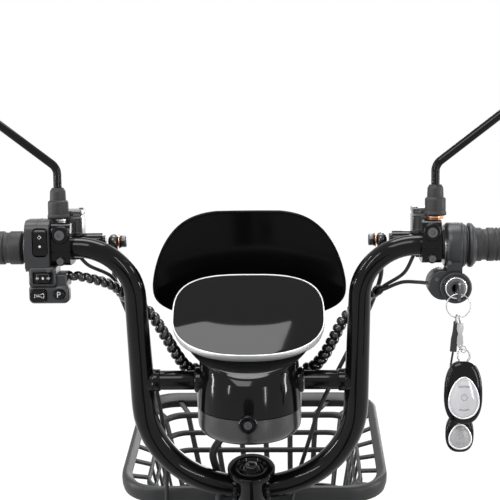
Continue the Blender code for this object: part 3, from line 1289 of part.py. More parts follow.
def looms():
    """The two bar looms with their thin leads, and the looms and hoses that cross to the frame."""
    x = SIDE_BOX_INNER - GAP
    left_route = [(-x, -0.004, -0.0305), (-0.186, -0.004, -0.0305), (-0.180, -0.0025, -0.0312),
                  (-0.160, 0.010, -0.0384),
                  (-0.1455, 0.025, -0.0474), (-0.1345, 0.042, -0.063), (-0.111, 0.050, -0.081),
                  (-0.095, 0.056, -0.1075), (-0.0835, 0.064, -0.130), (-0.0725, 0.073, -0.148),
                  (-0.0605, 0.0755, -0.1525)]
    left = beaded("left_loom", [bar(*p) for p in left_route], LOOM_PITCH)
    lead_x = CLAMP_INNER - GAP
    left_lead = cable("lead", [bar(*p) for p in ((-lead_x, 0.008, -0.0125), (-0.183, 0.008, -0.0125),
                                                 (-0.180, 0.008, -0.0125), (-0.171, 0.012, -0.0220),
                                                 (-0.151, 0.028, -0.0351), (-0.1405, 0.043, -0.0540),
                                                 (-0.131, 0.0465, -0.0680))], LEAD_RADIUS, 1)
    join(left, left_lead)
    node("left_loom", left, "rubber")
    right_route = [(0.1440, 0.041, -0.0555), (0.130, 0.047, -0.066), (0.108, 0.052, -0.0885),
                   (0.096, 0.058, -0.112), (0.0845, 0.065, -0.134), (0.0725, 0.073, -0.149),
                   (0.0605, 0.0755, -0.1525)]
    right = beaded("right_loom", [bar(*p) for p in right_route], LOOM_PITCH)
    upper = cable("lead", [bar(*p) for p in ((lead_x, 0.008, -0.0125), (0.183, 0.008, -0.0125),
                                             (0.180, 0.008, -0.0125), (0.171, 0.020, -0.0330),
                                             (0.1526, 0.035, -0.0482), (0.140, 0.0435, -0.0585))],
                                             LEAD_RADIUS, 1)
    ear = LOCK_X - 0.0125 - 0.0165 - GAP
    lower = cable("lead", [bar(*p) for p in ((ear, 0.002, -LOCK_DROP + 0.002), (0.185, 0.005, -0.0412),
                                             (0.169, 0.021, -0.0435), (0.1515, 0.0355, -0.0530),
                                             (0.139, 0.0440, -0.0600))], LEAD_RADIUS, 1)
    join(right, upper, lower)
    node("right_loom", right, "rubber")
    port = DOWN_TOP + 0.06 * DOWN_AWAY
    side = DOWN_TUBE_RADIUS + GAP
    main = cable("main_loom", [bar(-0.034, 0.072, -POD_FLOOR - GAP), bar(-0.034, 0.073, -0.232),
                               bar(-0.045, 0.092, -0.257),
                               bar(-0.0404, 0.118, -0.294), bar(-0.041, 0.124, -0.330),
                               bar(-0.043, 0.122, -0.385),
                               port + Vector((-0.048, 0.010, 0.024)), port + Vector((-side - 0.012, 0, 0)),
                               port + Vector((-side - 0.005, 0, 0)), port + Vector((-side, 0, 0))], 0.0045)
    node("main_loom", main, "rubber")
    rear = cable("rear_brake_hose", [bar(0.147, 0.034, -0.0070), bar(0.147, 0.035, -0.020),
                                     bar(0.147, 0.050, -0.045), bar(0.132, 0.066, -0.090),
                                     bar(0.100, 0.072, -0.155),
                                     bar(0.080, 0.082, -0.200), bar(0.066, 0.102, -0.250),
                                     bar(0.0536, 0.122, -0.297),
                                     bar(0.047, 0.128, -0.330), bar(0.046, 0.122, -0.385),
                                     port + Vector((0.048, 0.010, 0.024)), port +
                                     Vector((side + 0.012, 0, 0)),
                                     port + Vector((side + 0.005, 0, 0)), port + Vector((side, 0, 0))],
                 HOSE_RADIUS, 1)
    node("rear_brake_hose", rear, "rubber")
    outward = Vector((0, math.cos(FRONT_CALIPER_ANGLE), math.sin(FRONT_CALIPER_ANGLE)))
    around = Vector((0, -outward.z, outward.y))
    top = FRONT_AXLE + (DISC_RADIUS - DISC_BAND / 2 + 0.006) * outward - (0.027 + GAP) * around
    top.x = -FRONT_DROPOUT + DISC_INSET - 0.0085
    front = cable("front_brake_hose", [bar(-0.147, 0.034, -0.0070), bar(-0.147, 0.035, -0.020),
                                       bar(-0.149, 0.052, -0.045), bar(-0.136, 0.068, -0.090),
                                       bar(-0.113, 0.082, -0.160),
                                       bar(-0.103, 0.104, -0.240), bar(-0.104, 0.126, -0.322),
                                       bar(-0.112, 0.148, -0.385),
                                       steer(-0.1145, 0.03, 0.39), steer(-0.1145, 0.028, 0.30),
                                       steer(-0.1135, 0.022, 0.19), steer(-0.108, 0.000, 0.135),
                                       steer(-0.085, -0.024, 0.112), top - 0.016 * around,
                                       top - 0.006 * around, top],
                  HOSE_RADIUS, 1)
    node("front_brake_hose", front, "rubber")


# Frame

def main_frame():
    """All the welded tubes of the frame, with its bores, dropouts and stand bracket."""
    bore = STEERER_RADIUS + GAP + 0.0002
    body = lathe("main_frame", [(0, HEAD_LOW), (HEAD_TUBE_RADIUS + 0.0025, HEAD_LOW),
                                (HEAD_TUBE_RADIUS, HEAD_LOW + 0.012), (HEAD_TUBE_RADIUS, HEAD_TOP - 0.012),
                                (HEAD_TUBE_RADIUS + 0.0025, HEAD_TOP), (0, HEAD_TOP)],
                 steer(0, 0, 0), UPWARD, segments=14)
    knee = Vector((0, BOTTOM_BRACKET.y + 0.20, BB_HEIGHT + 0.045))
    down = sweep("down", bend([DOWN_TOP, knee, BOTTOM_BRACKET], [0.14], 3), DOWN_TUBE_RADIUS, sides=8,
                 hint=ACROSS)
    brace_end = BOTTOM_BRACKET + 0.17 * SEAT_UP
    brace_knee = Vector((0, brace_end.y + 0.19, brace_end.z + 0.01))
    brace_top = steer(0, 0, HEAD_TOP - 0.026)
    brace = sweep("brace", bend([brace_top, brace_knee, brace_end], [0.12], 3), BRACE_RADIUS, sides=8,
                  hint=ACROSS)
    seat = rod("seat_tube", BOTTOM_BRACKET, SEAT_TOP, SEAT_TUBE_RADIUS, 10)
    collar = rod("collar", SEAT_TOP - 0.022 * SEAT_UP, SEAT_TOP - 0.001 * SEAT_UP, SEAT_TUBE_RADIUS + 0.0035,
                 10)
    shell = rod("shell", BOTTOM_BRACKET - BB_HALF_WIDTH * ACROSS, BOTTOM_BRACKET + BB_HALF_WIDTH * ACROSS,
                BB_RADIUS, 12)
    extras = [down, brace, seat, collar, shell]
    bb = BOTTOM_BRACKET
    drop = REAR_DROPOUT + DROPOUT_THICKNESS / 2
    rise = math.radians(FENDER_BRIDGE)
    out = Vector((0, math.sin(rise), math.cos(rise)))
    bridge_at = REAR_AXLE + BRIDGE_RADIUS * out
    for side in (-1, 1):
        chain_points = [bb + Vector((side * 0.036, -0.012, -0.004)), bb +
                        Vector((side * 0.040, -0.040, -0.006)),
                        bb + Vector((side * 0.046, -0.105, -0.008)), bb +
                        Vector((side * 0.067, -0.185, -0.009)),
                        bb + Vector((side * 0.078, -0.30, -0.010)),
                        REAR_AXLE + Vector((side * 0.083, 0.07, 0.0)), REAR_AXLE +
                        Vector((side * drop, 0.026, 0.0))]
        extras.append(sweep("chainstay", chain_points, STAY_RADIUS, sides=6, hint=Vector((0, 0, 1))))
        start = bb + 0.345 * SEAT_UP
        seat_points = [start + Vector((side * 0.010, 0, 0)), start + Vector((side * 0.040, -0.030, -0.018)),
                       bridge_at + Vector((side * 0.066, 0.0366, 0.0239)),
                       bridge_at + Vector((side * 0.078, -0.0776, -0.056)),
                       REAR_AXLE + Vector((side * 0.083, 0.060, 0.072)), REAR_AXLE +
                       Vector((side * drop, 0.019, 0.022))]
        extras.append(sweep("seatstay", seat_points, STAY_RADIUS * 0.84, sides=6, hint=ACROSS))
        outline = [(0.030, 0.009), (0.024, 0.028), (0.010, 0.029), (-0.021, 0.010), (-0.022, -0.008),
                   (-0.008, -0.021),
                   (0.012, -0.021), (0.031, -0.008)]
        extras.append(plate("dropout", outline, REAR_AXLE + side * drop * ACROSS, Vector((0, 1, 0)),
                            Vector((0, 0, 1)),
                            DROPOUT_THICKNESS))
    tab_at = REAR_AXLE + Vector((-drop, -0.020, 0.042))
    extras.append(plate("tab", rounded_rectangle(0.010, 0.030, 0.004, 1), tab_at, Vector((0, 1, 0)),
                        Vector((0, 0, 1)),
                        DROPOUT_THICKNESS))
    extras.append(rod("bridge", bridge_at - 0.070 * ACROSS, bridge_at + 0.070 * ACROSS, 0.0065, 8))
    extras.append(rod("fender_bolt", REAR_AXLE + (FENDER_OUTER + GAP) * out, bridge_at, 0.006, 8))
    plate_z = bb.z - 0.006
    extras.append(block("stand_plate", (-0.048, STAND_PIVOT.y - 0.022, plate_z - 0.004),
                        (0.048, STAND_PIVOT.y + 0.018, plate_z + 0.002)))
    extras.append(block("stand_block", (-STAND_BLOCK_HALF, STAND_PIVOT.y - 0.015, STAND_HEIGHT - 0.012),
                        (STAND_BLOCK_HALF, STAND_PIVOT.y + 0.015, plate_z)))
    extras.append(rod("stand_pin", STAND_PIVOT - (STAND_HALF + 0.004) * ACROSS, STAND_PIVOT +
                      (STAND_HALF + 0.004) * ACROSS,
                      STAND_PIN_RADIUS))
    join(body, *extras)
    steer_bore = rod("bore", steer(0, 0, HEAD_LOW - 0.01), steer(0, 0, HEAD_TOP + 0.01), bore, 14)
    seat_bore = rod("bore", bb + SEAT_BORE_LOW * SEAT_UP, SEAT_TOP + 0.01 * SEAT_UP, SEAT_POST_RADIUS + GAP,
                    12)
    bb_bore = rod("bore", bb - 0.06 * ACROSS, bb + 0.06 * ACROSS, SPINDLE_RADIUS + GAP, 14)
    axle_bore = rod("bore", REAR_AXLE - 0.12 * ACROSS, REAR_AXLE + 0.12 * ACROSS, AXLE_RADIUS + GAP, 12)
    cut(body, steer_bore, seat_bore, bb_bore, axle_bore)
    node("main_frame", body, "gloss_black_paint")


def battery_case():
    """The battery behind the seat tube, with a grip on top."""
    front = SEAT_TUBE_RADIUS + GAP
    outline = [(x, y - front - BATTERY_THICKNESS / 2) for x, y in
               rounded_rectangle(BATTERY_HALF_WIDTH, BATTERY_THICKNESS / 2, 0.018, 2)]
    rings = []
    for height, inset in ((BATTERY_LOW, 0.004), (BATTERY_LOW + 0.004, 0),
                          (BATTERY_LOW + BATTERY_LENGTH - 0.012, 0),
                          (BATTERY_LOW + BATTERY_LENGTH - 0.004, 0.003),
                          (BATTERY_LOW + BATTERY_LENGTH, 0.010)):
        rings.append([Vector((x * (1 - inset / BATTERY_HALF_WIDTH), y, height)) for x, y in outline])
    body = skin("battery_case", rings)
    top = BATTERY_LOW + BATTERY_LENGTH
    middle = -front - BATTERY_THICKNESS / 2
    handle = sweep("handle", bend([(-0.026, middle, top - 0.004), (-0.026, middle, top + 0.020),
                                   (0.026, middle, top + 0.020),
                                   (0.026, middle, top - 0.004)], [0.008, 0.008], 2), 0.005, sides=6,
                                   hint=Vector((0, 1, 0)))
    join(body, handle)
    body.data.transform(Matrix.Translation(BOTTOM_BRACKET) @ Matrix.Rotation(SEAT_LEAN, 4, "X"))
    node("battery_case", body, "black_plastic")


def saddle_half(share):
    """Half width of the saddle from its tail, share 0, to its nose, share 1."""
    wide = SADDLE_HALF_WIDTH * math.sqrt(max(0.0, 1 - ((share - 0.22) / 0.60) ** 2)) if share < 0.8 else 0.0
    nose = SADDLE_NOSE_HALF * math.sqrt(max(0.0, 1 - max(0.0, (share - 0.86) / 0.14) ** 2))
    return max(wide, nose, 0.004)


def saddle():
    """Post, clamp and shell in one, with the crowned and channelled cushion above."""
    post_top = BOTTOM_BRACKET + (SEAT_TUBE_LENGTH + SADDLE_RISE) * SEAT_UP
    base = post_top.z + 0.004
    tail = post_top.y - SADDLE_LENGTH * 0.45
    shares = [0.02, 0.08, 0.18, 0.30, 0.42, 0.52, 0.62, 0.72, 0.86, 0.96, 0.995]
    outline = [(saddle_half(s) - 0.003, tail + s * SADDLE_LENGTH) for s in shares]
    outline += [(-x, y) for x, y in reversed(outline)]
    shell = plate("saddle_base", outline, Vector((0, 0, base + 0.004)), ACROSS, Vector((0, 1, 0)), 0.007)
    post = rod("post", BOTTOM_BRACKET + (SEAT_TUBE_LENGTH - SEAT_POST_IN) * SEAT_UP, post_top +
               0.002 * SEAT_UP,
               SEAT_POST_RADIUS, 12)
    clamp = block("clamp", post_top + Vector((-0.021, -0.030, -0.022)), post_top +
                  Vector((0.021, 0.026, 0.006)), 0.004)
    bumpers = [rod("bumper", Vector((side * 0.065, tail + 0.055, base - 0.035)),
                   Vector((side * 0.065, tail + 0.055, base + 0.003)),
                   0.013, 6) for side in (-1, 1)]
    rails = [sweep("rail", bend([(side * 0.065, tail + 0.055, base - 0.030),
                                 (side * 0.022, tail + 0.075, base - 0.028),
                                 (side * 0.018, tail + 0.19, base - 0.014),
                                 (side * 0.012, tail + 0.235, base + 0.002)],
                                [0.02, 0.03], 1), 0.0036, sides=5) for side in (-1, 1)]
    join(shell, post, clamp, *bumpers, *rails)
    node("saddle_base", shell, "satin_black_paint", SEAT_TOP)
    low = base + 0.0075 + GAP
    rings = []
    for share in shares:
        half = saddle_half(share)
        y = tail + share * SADDLE_LENGTH
        rise = SADDLE_THICKNESS * (1 - 0.22 * share) * min(1.0, (min(share, 1 - share) / 0.10) ** 0.5 * 0.75 +
                                                           0.25)
        channel = 0.007 * max(0.0, 1 - ((share - 0.45) / 0.4) ** 2)
        ring = [(0.90, 0.0), (1.0, 0.16), (1.03, 0.42), (0.96, 0.70), (0.72, 0.93), (0.40, 1.0),
                (0.14, 0.985)]
        points = [Vector((half * u, y, low + rise * v)) for u, v in ring]
        points.append(Vector((0, y, low + rise * 0.985 - channel)))
        points += [Vector((-half * u, y, low + rise * v)) for u, v in reversed(ring)]
        rings.append(points)
    node("saddle_cushion", skin("saddle_cushion", rings), "black_leather", SEAT_TOP, 60)


def rear_rack():
    """Tube loop with flat deck bars, a tongue to the seat tube and a leg each side to the dropout."""
    top = RACK_HEIGHT
    tube_z = top - RACK_TUBE
    rear = RACK_FRONT - RACK_LENGTH
    loop = [Vector((x, RACK_FRONT - RACK_LENGTH / 2 + y, tube_z)) for x, y in
            rounded_rectangle(RACK_HALF_WIDTH, RACK_LENGTH / 2, 0.035, 2)]
    body = sweep("rear_rack", loop, RACK_TUBE, sides=6, closed=True)
    extras = []
    for k in range(4):
        y = RACK_FRONT - 0.055 - k * (RACK_LENGTH - 0.11) / 3
        extras.append(block("slat", (-RACK_HALF_WIDTH + 0.002, y - 0.013, top - 0.006),
                            (RACK_HALF_WIDTH - 0.002, y + 0.013, top)))
    seat_back = BOTTOM_BRACKET + ((tube_z - BB_HEIGHT) / math.cos(SEAT_LEAN)) * SEAT_UP
    tongue_end = seat_back.y - (SEAT_TUBE_RADIUS + 0.0035) / math.cos(SEAT_LEAN) - GAP - 0.0015
    extras.append(block("tongue", (-0.015, RACK_FRONT - 0.004, tube_z - 0.004),
                        (0.015, tongue_end, tube_z + 0.004)))
    for side in (-1, 1):
        x = side * RACK_LEG_X
        hang = Vector((side * (RACK_HALF_WIDTH - 0.001), REAR_AXLE.y + 0.06, tube_z))
        foot = REAR_AXLE + Vector((x, -0.006, 0.012))
        leg = bend([hang, Vector((side * (RACK_HALF_WIDTH + 0.012), REAR_AXLE.y + 0.055, tube_z - 0.03)),
                    Vector((x, REAR_AXLE.y + 0.03, TYRE_RADIUS + 0.20)), foot], [0.02, 0.05], 1)
        extras.append(sweep("leg", leg, 0.0048, sides=5, hint=Vector((0, 1, 0))))
        eye = REAR_DROPOUT + DROPOUT_THICKNESS + GAP
        extras.append(rod("eye", REAR_AXLE + Vector((side * eye, -0.008, 0.016)),
                          REAR_AXLE + Vector((side * (RACK_LEG_X + 0.004), -0.008, 0.016)), 0.0045, 6))
    extras.append(block("lamp_plate", (-0.030, rear - 0.004, top - 0.040),
                        (0.030, rear + 0.002, top - 0.004)))
    join(body, *extras)
    node("rear_rack", body, "satin_black_paint")
    lamp = block("tail_light", (-0.042, rear - 0.026, top - 0.043), (0.042, rear - 0.004 - GAP, top - 0.009),
                 0.006)
    node("tail_light", lamp, "red_lens")


# Drive

def toothed(radius, teeth, root, points):
    """Outline of a toothed ring; the tips end at the radius."""
    outline = []
    for k in range(teeth):
        for share, reach in points:
            angle = 2 * math.pi * (k + share) / teeth
            outline.append(((radius - root * reach) * math.cos(angle),
                            (radius - root * reach) * math.sin(angle)))
    return outline


def drive():
    """Chainring with both cranks, pedals, rear sprocket and the chain that seats on their teeth."""
    bb = BOTTOM_BRACKET
    sideways = Vector((0, 1, 0))
    up = Vector((0, 0, 1))
    ring = plate("crankset", toothed(CHAINRING_RADIUS, CHAINRING_TEETH, TOOTH_HEIGHT, ((0, 0), (0.5, 1))),
                 bb + CHAIN_LINE * ACROSS, sideways, up, RING_THICKNESS)
    windows = []
    for k in range(5):
        first = 2 * math.pi * (k + 0.14) / 5
        last = 2 * math.pi * (k + 0.86) / 5
        shape = [(radius * math.cos(angle), radius * math.sin(angle)) for radius, angle in
                 ((CHAINRING_RADIUS - 0.018, first), (CHAINRING_RADIUS - 0.014, (first + last) / 2),
                  (CHAINRING_RADIUS - 0.018, last), (0.038, (first + last) / 2))]
        windows.append(plate("window", shape, bb + CHAIN_LINE * ACROSS, sideways, up, 0.02))
    cut(ring, *windows)
    spindle = rod("spindle", bb - (CRANK_INNER + 0.002) * ACROSS, bb + (CRANK_INNER + 0.002) * ACROSS,
                  SPINDLE_RADIUS, 10)
    carrier = rod("carrier", bb + (BB_HALF_WIDTH + GAP + 0.001) * ACROSS, bb + CRANK_INNER * ACROSS, 0.0175,
                  8)
    spacer = rod("spacer", bb - (BB_HALF_WIDTH + GAP + 0.001) * ACROSS, bb - CRANK_INNER * ACROSS, 0.0150, 8)
    pieces = [spindle, carrier, spacer]
    for side in (-1, 1):
        outline = []
        for d in range(90, 271, 45):
            outline.append((0.017 * math.cos(math.radians(d)), 0.017 * math.sin(math.radians(d))))
        for d in range(-90, 91, 45):
            outline.append((CRANK_LENGTH + 0.0125 * math.cos(math.radians(d)),
                            0.0125 * math.sin(math.radians(d))))
        arm = plate("arm", [(side * u, v) for u, v in outline],
                    bb + side * (CRANK_INNER + CRANK_THICKNESS / 2) * ACROSS, sideways, up, CRANK_THICKNESS)
        eye = bb + side * CRANK_LENGTH * sideways
        pin = rod("pin", eye + side * (CRANK_INNER + 0.002) * ACROSS,
                  eye + side * (PEDAL_INNER + PEDAL_LENGTH - 0.014) * ACROSS, PEDAL_AXLE_RADIUS, 8)
        pieces += [arm, pin]
    join(ring, *pieces)
    node("crankset", ring, "satin_black_paint", bb)
    for label, side in (("pedal_left", -1), ("pedal_right", 1)):
        eye = bb + side * CRANK_LENGTH * sideways
        inner, outer = sorted((side * PEDAL_INNER, side * (PEDAL_INNER + PEDAL_LENGTH)))
        body = block(label, eye + Vector((inner, -PEDAL_WIDTH / 2, -PEDAL_HEIGHT / 2)),
                     eye + Vector((outer, PEDAL_WIDTH / 2, PEDAL_HEIGHT / 2)), 0.005)
        middle = (inner + outer) / 2
        for way in (-1, 1):
            for half in (-1, 1):
                centre = eye + Vector((middle + half * PEDAL_LENGTH * 0.215, way * PEDAL_WIDTH * 0.27, 0))
                window = block("window", centre - Vector((PEDAL_LENGTH * 0.165, PEDAL_WIDTH * 0.14, 0.03)),
                               centre + Vector((PEDAL_LENGTH * 0.165, PEDAL_WIDTH * 0.14, 0.03)))
                cut(body, window)
        bore = rod("bore", eye + side * (PEDAL_INNER - 0.01) * ACROSS,
                   eye + side * (PEDAL_INNER + PEDAL_LENGTH - 0.012) * ACROSS, PEDAL_AXLE_RADIUS + GAP, 12)
        cut(body, bore)
        node(label, body, "black_plastic", eye)
    rear = plate("rear_sprocket", toothed(SPROCKET_RADIUS, SPROCKET_TEETH, TOOTH_HEIGHT,
                                          ((0, 0), (0.5, 1))),
                 REAR_AXLE + CHAIN_LINE * ACROSS, sideways, up, RING_THICKNESS)
    cut(rear, rod("bore", REAR_AXLE, REAR_AXLE + 0.1 * ACROSS, SPROCKET_SEAT_RADIUS + GAP, 18))
    node("rear_sprocket", rear, "steel", REAR_AXLE)
    chain()


def chain():
    """One closed run of links round both toothed rings, wide and narrow links in turn."""
    seat = GAP + CHAIN_HEIGHT / 2
    big = CHAINRING_RADIUS + seat
    small = SPROCKET_RADIUS + seat
    across = BOTTOM_BRACKET - REAR_AXLE
    distance = across.length
    tilt = math.atan2(across.z, across.y)
    lean = math.asin((big - small) / distance)
    straight = math.sqrt(distance ** 2 - (big - small) ** 2)
    front_arc = (math.pi + 2 * lean) * big
    rear_arc = (math.pi - 2 * lean) * small
    upper = math.pi / 2 + lean + tilt
    lower = -upper + 2 * tilt

    def on_circle(centre, radius, angle):
        return centre + radius * Vector((0, math.cos(angle), math.sin(angle)))

    runs = ((front_arc, lambda s: on_circle(BOTTOM_BRACKET, big, lower + s * (upper - lower)), 1),
            (straight, lambda s: on_circle(BOTTOM_BRACKET, big, upper).lerp(on_circle(REAR_AXLE, small,
                                                                                      upper), s), 2),
            (rear_arc, lambda s: on_circle(REAR_AXLE, small, upper + s * rear_arc / small), 1),
            (straight, lambda s: on_circle(REAR_AXLE, small, lower).lerp(on_circle(BOTTOM_BRACKET, big,
                                                                                   lower), s), 2))
    points = []
    for length, place, pitches in runs:
        count = 2 * round(length / (pitches * CHAIN_PITCH) / 2)
        points += [place(k / count) for k in range(count)]
    points = [point + CHAIN_LINE * ACROSS for point in points]
    section = [(CHAIN_WIDTH / 2, CHAIN_HEIGHT / 2), (-CHAIN_WIDTH / 2, CHAIN_HEIGHT / 2),
               (-CHAIN_WIDTH / 2, -CHAIN_HEIGHT / 2), (CHAIN_WIDTH / 2, -CHAIN_HEIGHT / 2)]
    scale = [1.0 if k % 2 else 0.74 for k in range(len(points))]
    node("chain", sweep("chain", points, scale, closed=True, hint=ACROSS, section=section), "steel")


def center_stand():
    """Two legs on the frame's pin, joined by a brace, each ending in a flat foot."""
    pivot = STAND_PIVOT
    hub_inner = STAND_BLOCK_HALF + RUNNING_GAP
    parts = []
    lean = STAND_FOOT_AHEAD / STAND_HEIGHT
    for side in (-1, 1):
        parts.append(rod("hub", pivot + side * hub_inner * ACROSS, pivot + side * STAND_HALF * ACROSS,
                         STAND_PIN_RADIUS + 0.0045, 12))
        knee = Vector((side * STAND_HALF, pivot.y + lean * (STAND_HEIGHT - 0.06), 0.06))
        top = pivot + side * (STAND_HALF - STAND_LEG_RADIUS) * ACROSS - Vector((0, 0, 0.004))
        foot = Vector((side * STAND_FOOT_X, pivot.y + STAND_FOOT_AHEAD, 0.006))
        upper = top + Vector((side * 0.004, lean * 0.03, -0.03))
        parts.append(sweep("leg", bend([top, upper, knee, foot], [0.01, 0.04], 1), STAND_LEG_RADIUS, sides=6,
                           hint=Vector((0, 1, 0))))
        parts.append(block("foot", foot + Vector((-0.017, -0.024, -0.006)), foot +
                           Vector((0.017, 0.024, 0.004))))
    brace_z = STAND_HEIGHT - 0.058
    brace = rod("brace", Vector((-STAND_HALF, pivot.y + lean * 0.058, brace_z)),
                Vector((STAND_HALF, pivot.y + lean * 0.058, brace_z)), 0.0065, 6)
    join(brace, *parts)
    hole = rod("hole", pivot - 0.12 * ACROSS, pivot + 0.12 * ACROSS, STAND_PIN_RADIUS + GAP, 12)
    cut(brace, hole)
    node("center_stand", brace, "satin_black_paint", pivot)


front_wheel_set()
rear_wheel_set()
fork_lowers()
fork_crown()
caliper("front_caliper", FRONT_AXLE - (FRONT_DROPOUT - DISC_INSET) * ACROSS, FRONT_CALIPER_ANGLE)
caliper("rear_caliper", REAR_AXLE - (REAR_DROPOUT - DISC_INSET) * ACROSS, REAR_CALIPER_ANGLE)
handlebar()
grip("grip_left", -1)
grip("throttle_grip", 1)
switch_housing()
switches()
throttle_housing()
keys()
for hand, sign in (("left", -1), ("right", 1)):
    master_cylinder("master_cylinder_" + hand, sign)
    brake_lever("brake_lever_" + hand, sign)
    mirror(sign)
lamp_housing()
dash()
visor()
basket()
looms()
main_frame()
battery_case()
saddle()
rear_rack()
drive()
center_stand()
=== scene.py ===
"""Looks of an electric bicycle: everything is in metres, +Y forwards, +X to the rider's right, +Z up."""
import bpy
import bmesh
import math
from mathutils import Vector, Matrix


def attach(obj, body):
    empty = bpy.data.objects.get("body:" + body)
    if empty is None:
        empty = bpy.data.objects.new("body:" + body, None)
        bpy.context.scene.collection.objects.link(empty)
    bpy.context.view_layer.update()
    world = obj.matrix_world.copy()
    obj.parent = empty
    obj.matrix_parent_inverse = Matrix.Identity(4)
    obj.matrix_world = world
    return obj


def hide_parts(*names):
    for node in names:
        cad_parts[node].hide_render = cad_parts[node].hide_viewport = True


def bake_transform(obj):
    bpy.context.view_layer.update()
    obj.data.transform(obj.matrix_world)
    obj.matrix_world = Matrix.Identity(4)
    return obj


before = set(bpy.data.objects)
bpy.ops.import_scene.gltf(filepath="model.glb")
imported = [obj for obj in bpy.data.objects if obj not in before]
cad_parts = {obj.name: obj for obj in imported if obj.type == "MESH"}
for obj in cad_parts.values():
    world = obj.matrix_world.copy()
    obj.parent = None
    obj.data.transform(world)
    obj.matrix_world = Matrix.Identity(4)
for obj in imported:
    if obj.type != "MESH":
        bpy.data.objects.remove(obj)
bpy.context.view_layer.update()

# Places shared by the pieces
ACROSS = Vector((1, 0, 0))
FORE = Vector((0, 1, 0))
UP = Vector((0, 0, 1))
HEAD_LEAN = math.radians(18)
AHEAD = Vector((0, math.cos(HEAD_LEAN), math.sin(HEAD_LEAN)))
UPWARD = Vector((0, -math.sin(HEAD_LEAN), math.cos(HEAD_LEAN)))
REAR_AXLE = Vector((0, -0.5575, 0.29))
FRONT_AXLE = Vector((0, 0.5825, 0.29))
STEER_FOOT = FRONT_AXLE - 0.045 * AHEAD
FENDER_OUTER = 0.315
FENDER_WIDTH = 0.112
FENDER_LIP = 0.024
FENDER_WALL = 0.003
HEAD_LOW = 0.415
HEAD_TOP = 0.517
BAR_LOW = 0.5493
BAR_HEIGHT = 0.314
GRIP_S = BAR_LOW + BAR_HEIGHT
BAR_LEG_HALF = 0.1235
BAR_HALF_WIDTH = 0.365
BAR_RADIUS = 0.0111
BAR_LOW_RADIUS = 0.014
BAR_BORE = 0.0112
GRIP_RADIUS = 0.018
GRIP_BORE = 0.0114
CROSSBAR_S = GRIP_S - 0.167
BOTTOM_BRACKET = Vector((0, -0.0975, 0.30))
SEAT_LEAN = math.radians(17)
SEAT_UP = Vector((0, -math.sin(SEAT_LEAN), math.cos(SEAT_LEAN)))
SEAT_POST_TOP = BOTTOM_BRACKET + 0.50 * SEAT_UP


def steer(x, ahead, up):
    """A point of the steering assembly: across, ahead of the steering axis, and up along it."""
    return STEER_FOOT + x * ACROSS + ahead * AHEAD + up * UPWARD


GRIP_MIDDLE = steer(0, 0, GRIP_S)


def bar(x, y, z):
    """A point given level from the middle of the grips."""
    return GRIP_MIDDLE + Vector((x, y, z))


def outwards(angle):
    """The direction out from an axle; the angle turns forwards from straight up."""
    return Vector((0, math.sin(angle), math.cos(angle)))


def turns(count):
    """Angles at an even spacing, once round."""
    return [2 * math.pi * k / count for k in range(count)]


def degrees(first, last, step):
    """Angles in radians, given in degrees as for range."""
    return [math.radians(d) for d in range(first, last, step)]


def raised(value, power):
    """A value from -1 to 1 raised to a power, with its sign kept."""
    return math.copysign(abs(value) ** power, value)


def side_name(side):
    return "left" if side < 0 else "right"


# Shapes: each helper gives a list of corners and a list of faces

def skin(rings, closed=False, whole=True):
    """Faces between rings of equal count; whole rings close on themselves, and an open run is capped."""
    count = len(rings[0])
    corners = [point for ring in rings for point in ring]
    faces = []
    for i in range(len(rings) if closed else len(rings) - 1):
        here = i * count
        there = ((i + 1) % len(rings)) * count
        for j in range(count if whole else count - 1):
            k = (j + 1) % count
            faces.append((here + j, here + k, there + k, there + j))
    if not closed:
        faces.append(tuple(range(count)))
        faces.append(tuple(range(len(corners) - count, len(corners))))
    return corners, faces


def frames(points, closed, hint):
    """A sideways and an upright direction at each point, carried along without twist."""
    total = len(points)
    result = []
    side = None
    for i in range(total):
        before = points[i - 1] if i or closed else points[0]
        after = points[(i + 1) % total] if i < total - 1 or closed else points[-1]
        along = (after - before).normalized()
        if side is None:
            side = hint - hint.dot(along) * along
            if side.length < 1e-4:
                side = along.orthogonal()
        side = (side - side.dot(along) * along).normalized()
        result.append((side, along.cross(side)))
    return result


def sweep(points, radius, sides=24, closed=False, hint=UP, section=None):
    """A tube, or any section of (side, upright) pairs, carried along points; radius may be a list."""
    points = [Vector(point) for point in points]
    radii = radius if isinstance(radius, list) else [radius] * len(points)
    if section is None:
        section = [(math.cos(a), math.sin(a)) for a in turns(sides)]
    rings = []
    for point, size, (side, upright) in zip(points, radii, frames(points, closed, hint)):
        rings.append([point + size * (u * side + v * upright) for u, v in section])
    return skin(rings, closed)


def softened(profile, radius=0.0006, ring=False):
    """Round the corners of a turned profile; points on the axis stay sharp."""
    result = []
    count = len(profile)
    for i, point in enumerate(profile):
        here = Vector(point)
        if not ring and i in (0, count - 1) or here.x < 1e-6:
            result.append(tuple(here))
            continue
        before = Vector(profile[i - 1]) - here
        after = Vector(profile[(i + 1) % count]) - here
        reach = min(radius, before.length * 0.45, after.length * 0.45)
        a = here + before.normalized() * reach
        c = here + after.normalized() * reach
        result += [tuple(a), tuple((a + c) / 4 + here / 2), tuple(c)]
    return result


def lathe(profile, middle, axis=UP, segments=48, ring=False, soft=0.0006):
    """Turn (radius, along) pairs about an axis; a ring profile closes on itself."""
    axis = Vector(axis).normalized()
    side = axis.orthogonal().normalized()
    other = axis.cross(side)
    if soft:
        profile = softened(profile, soft, ring)
    rings = []
    for angle in turns(segments):
        out = math.cos(angle) * side + math.sin(angle) * other
        rings.append([middle + radius * out + along * axis for radius, along in profile])
    return skin(rings, closed=True, whole=ring)


def rod(start, end, radius, segments=32, soft=0.0005):
    """A straight round bar with softened ends."""
    start = Vector(start)
    end = Vector(end)
    length = (end - start).length
    profile = [(0, 0), (radius, 0), (radius, length), (0, length)]
    return lathe(profile, start, end - start, segments, soft=soft)


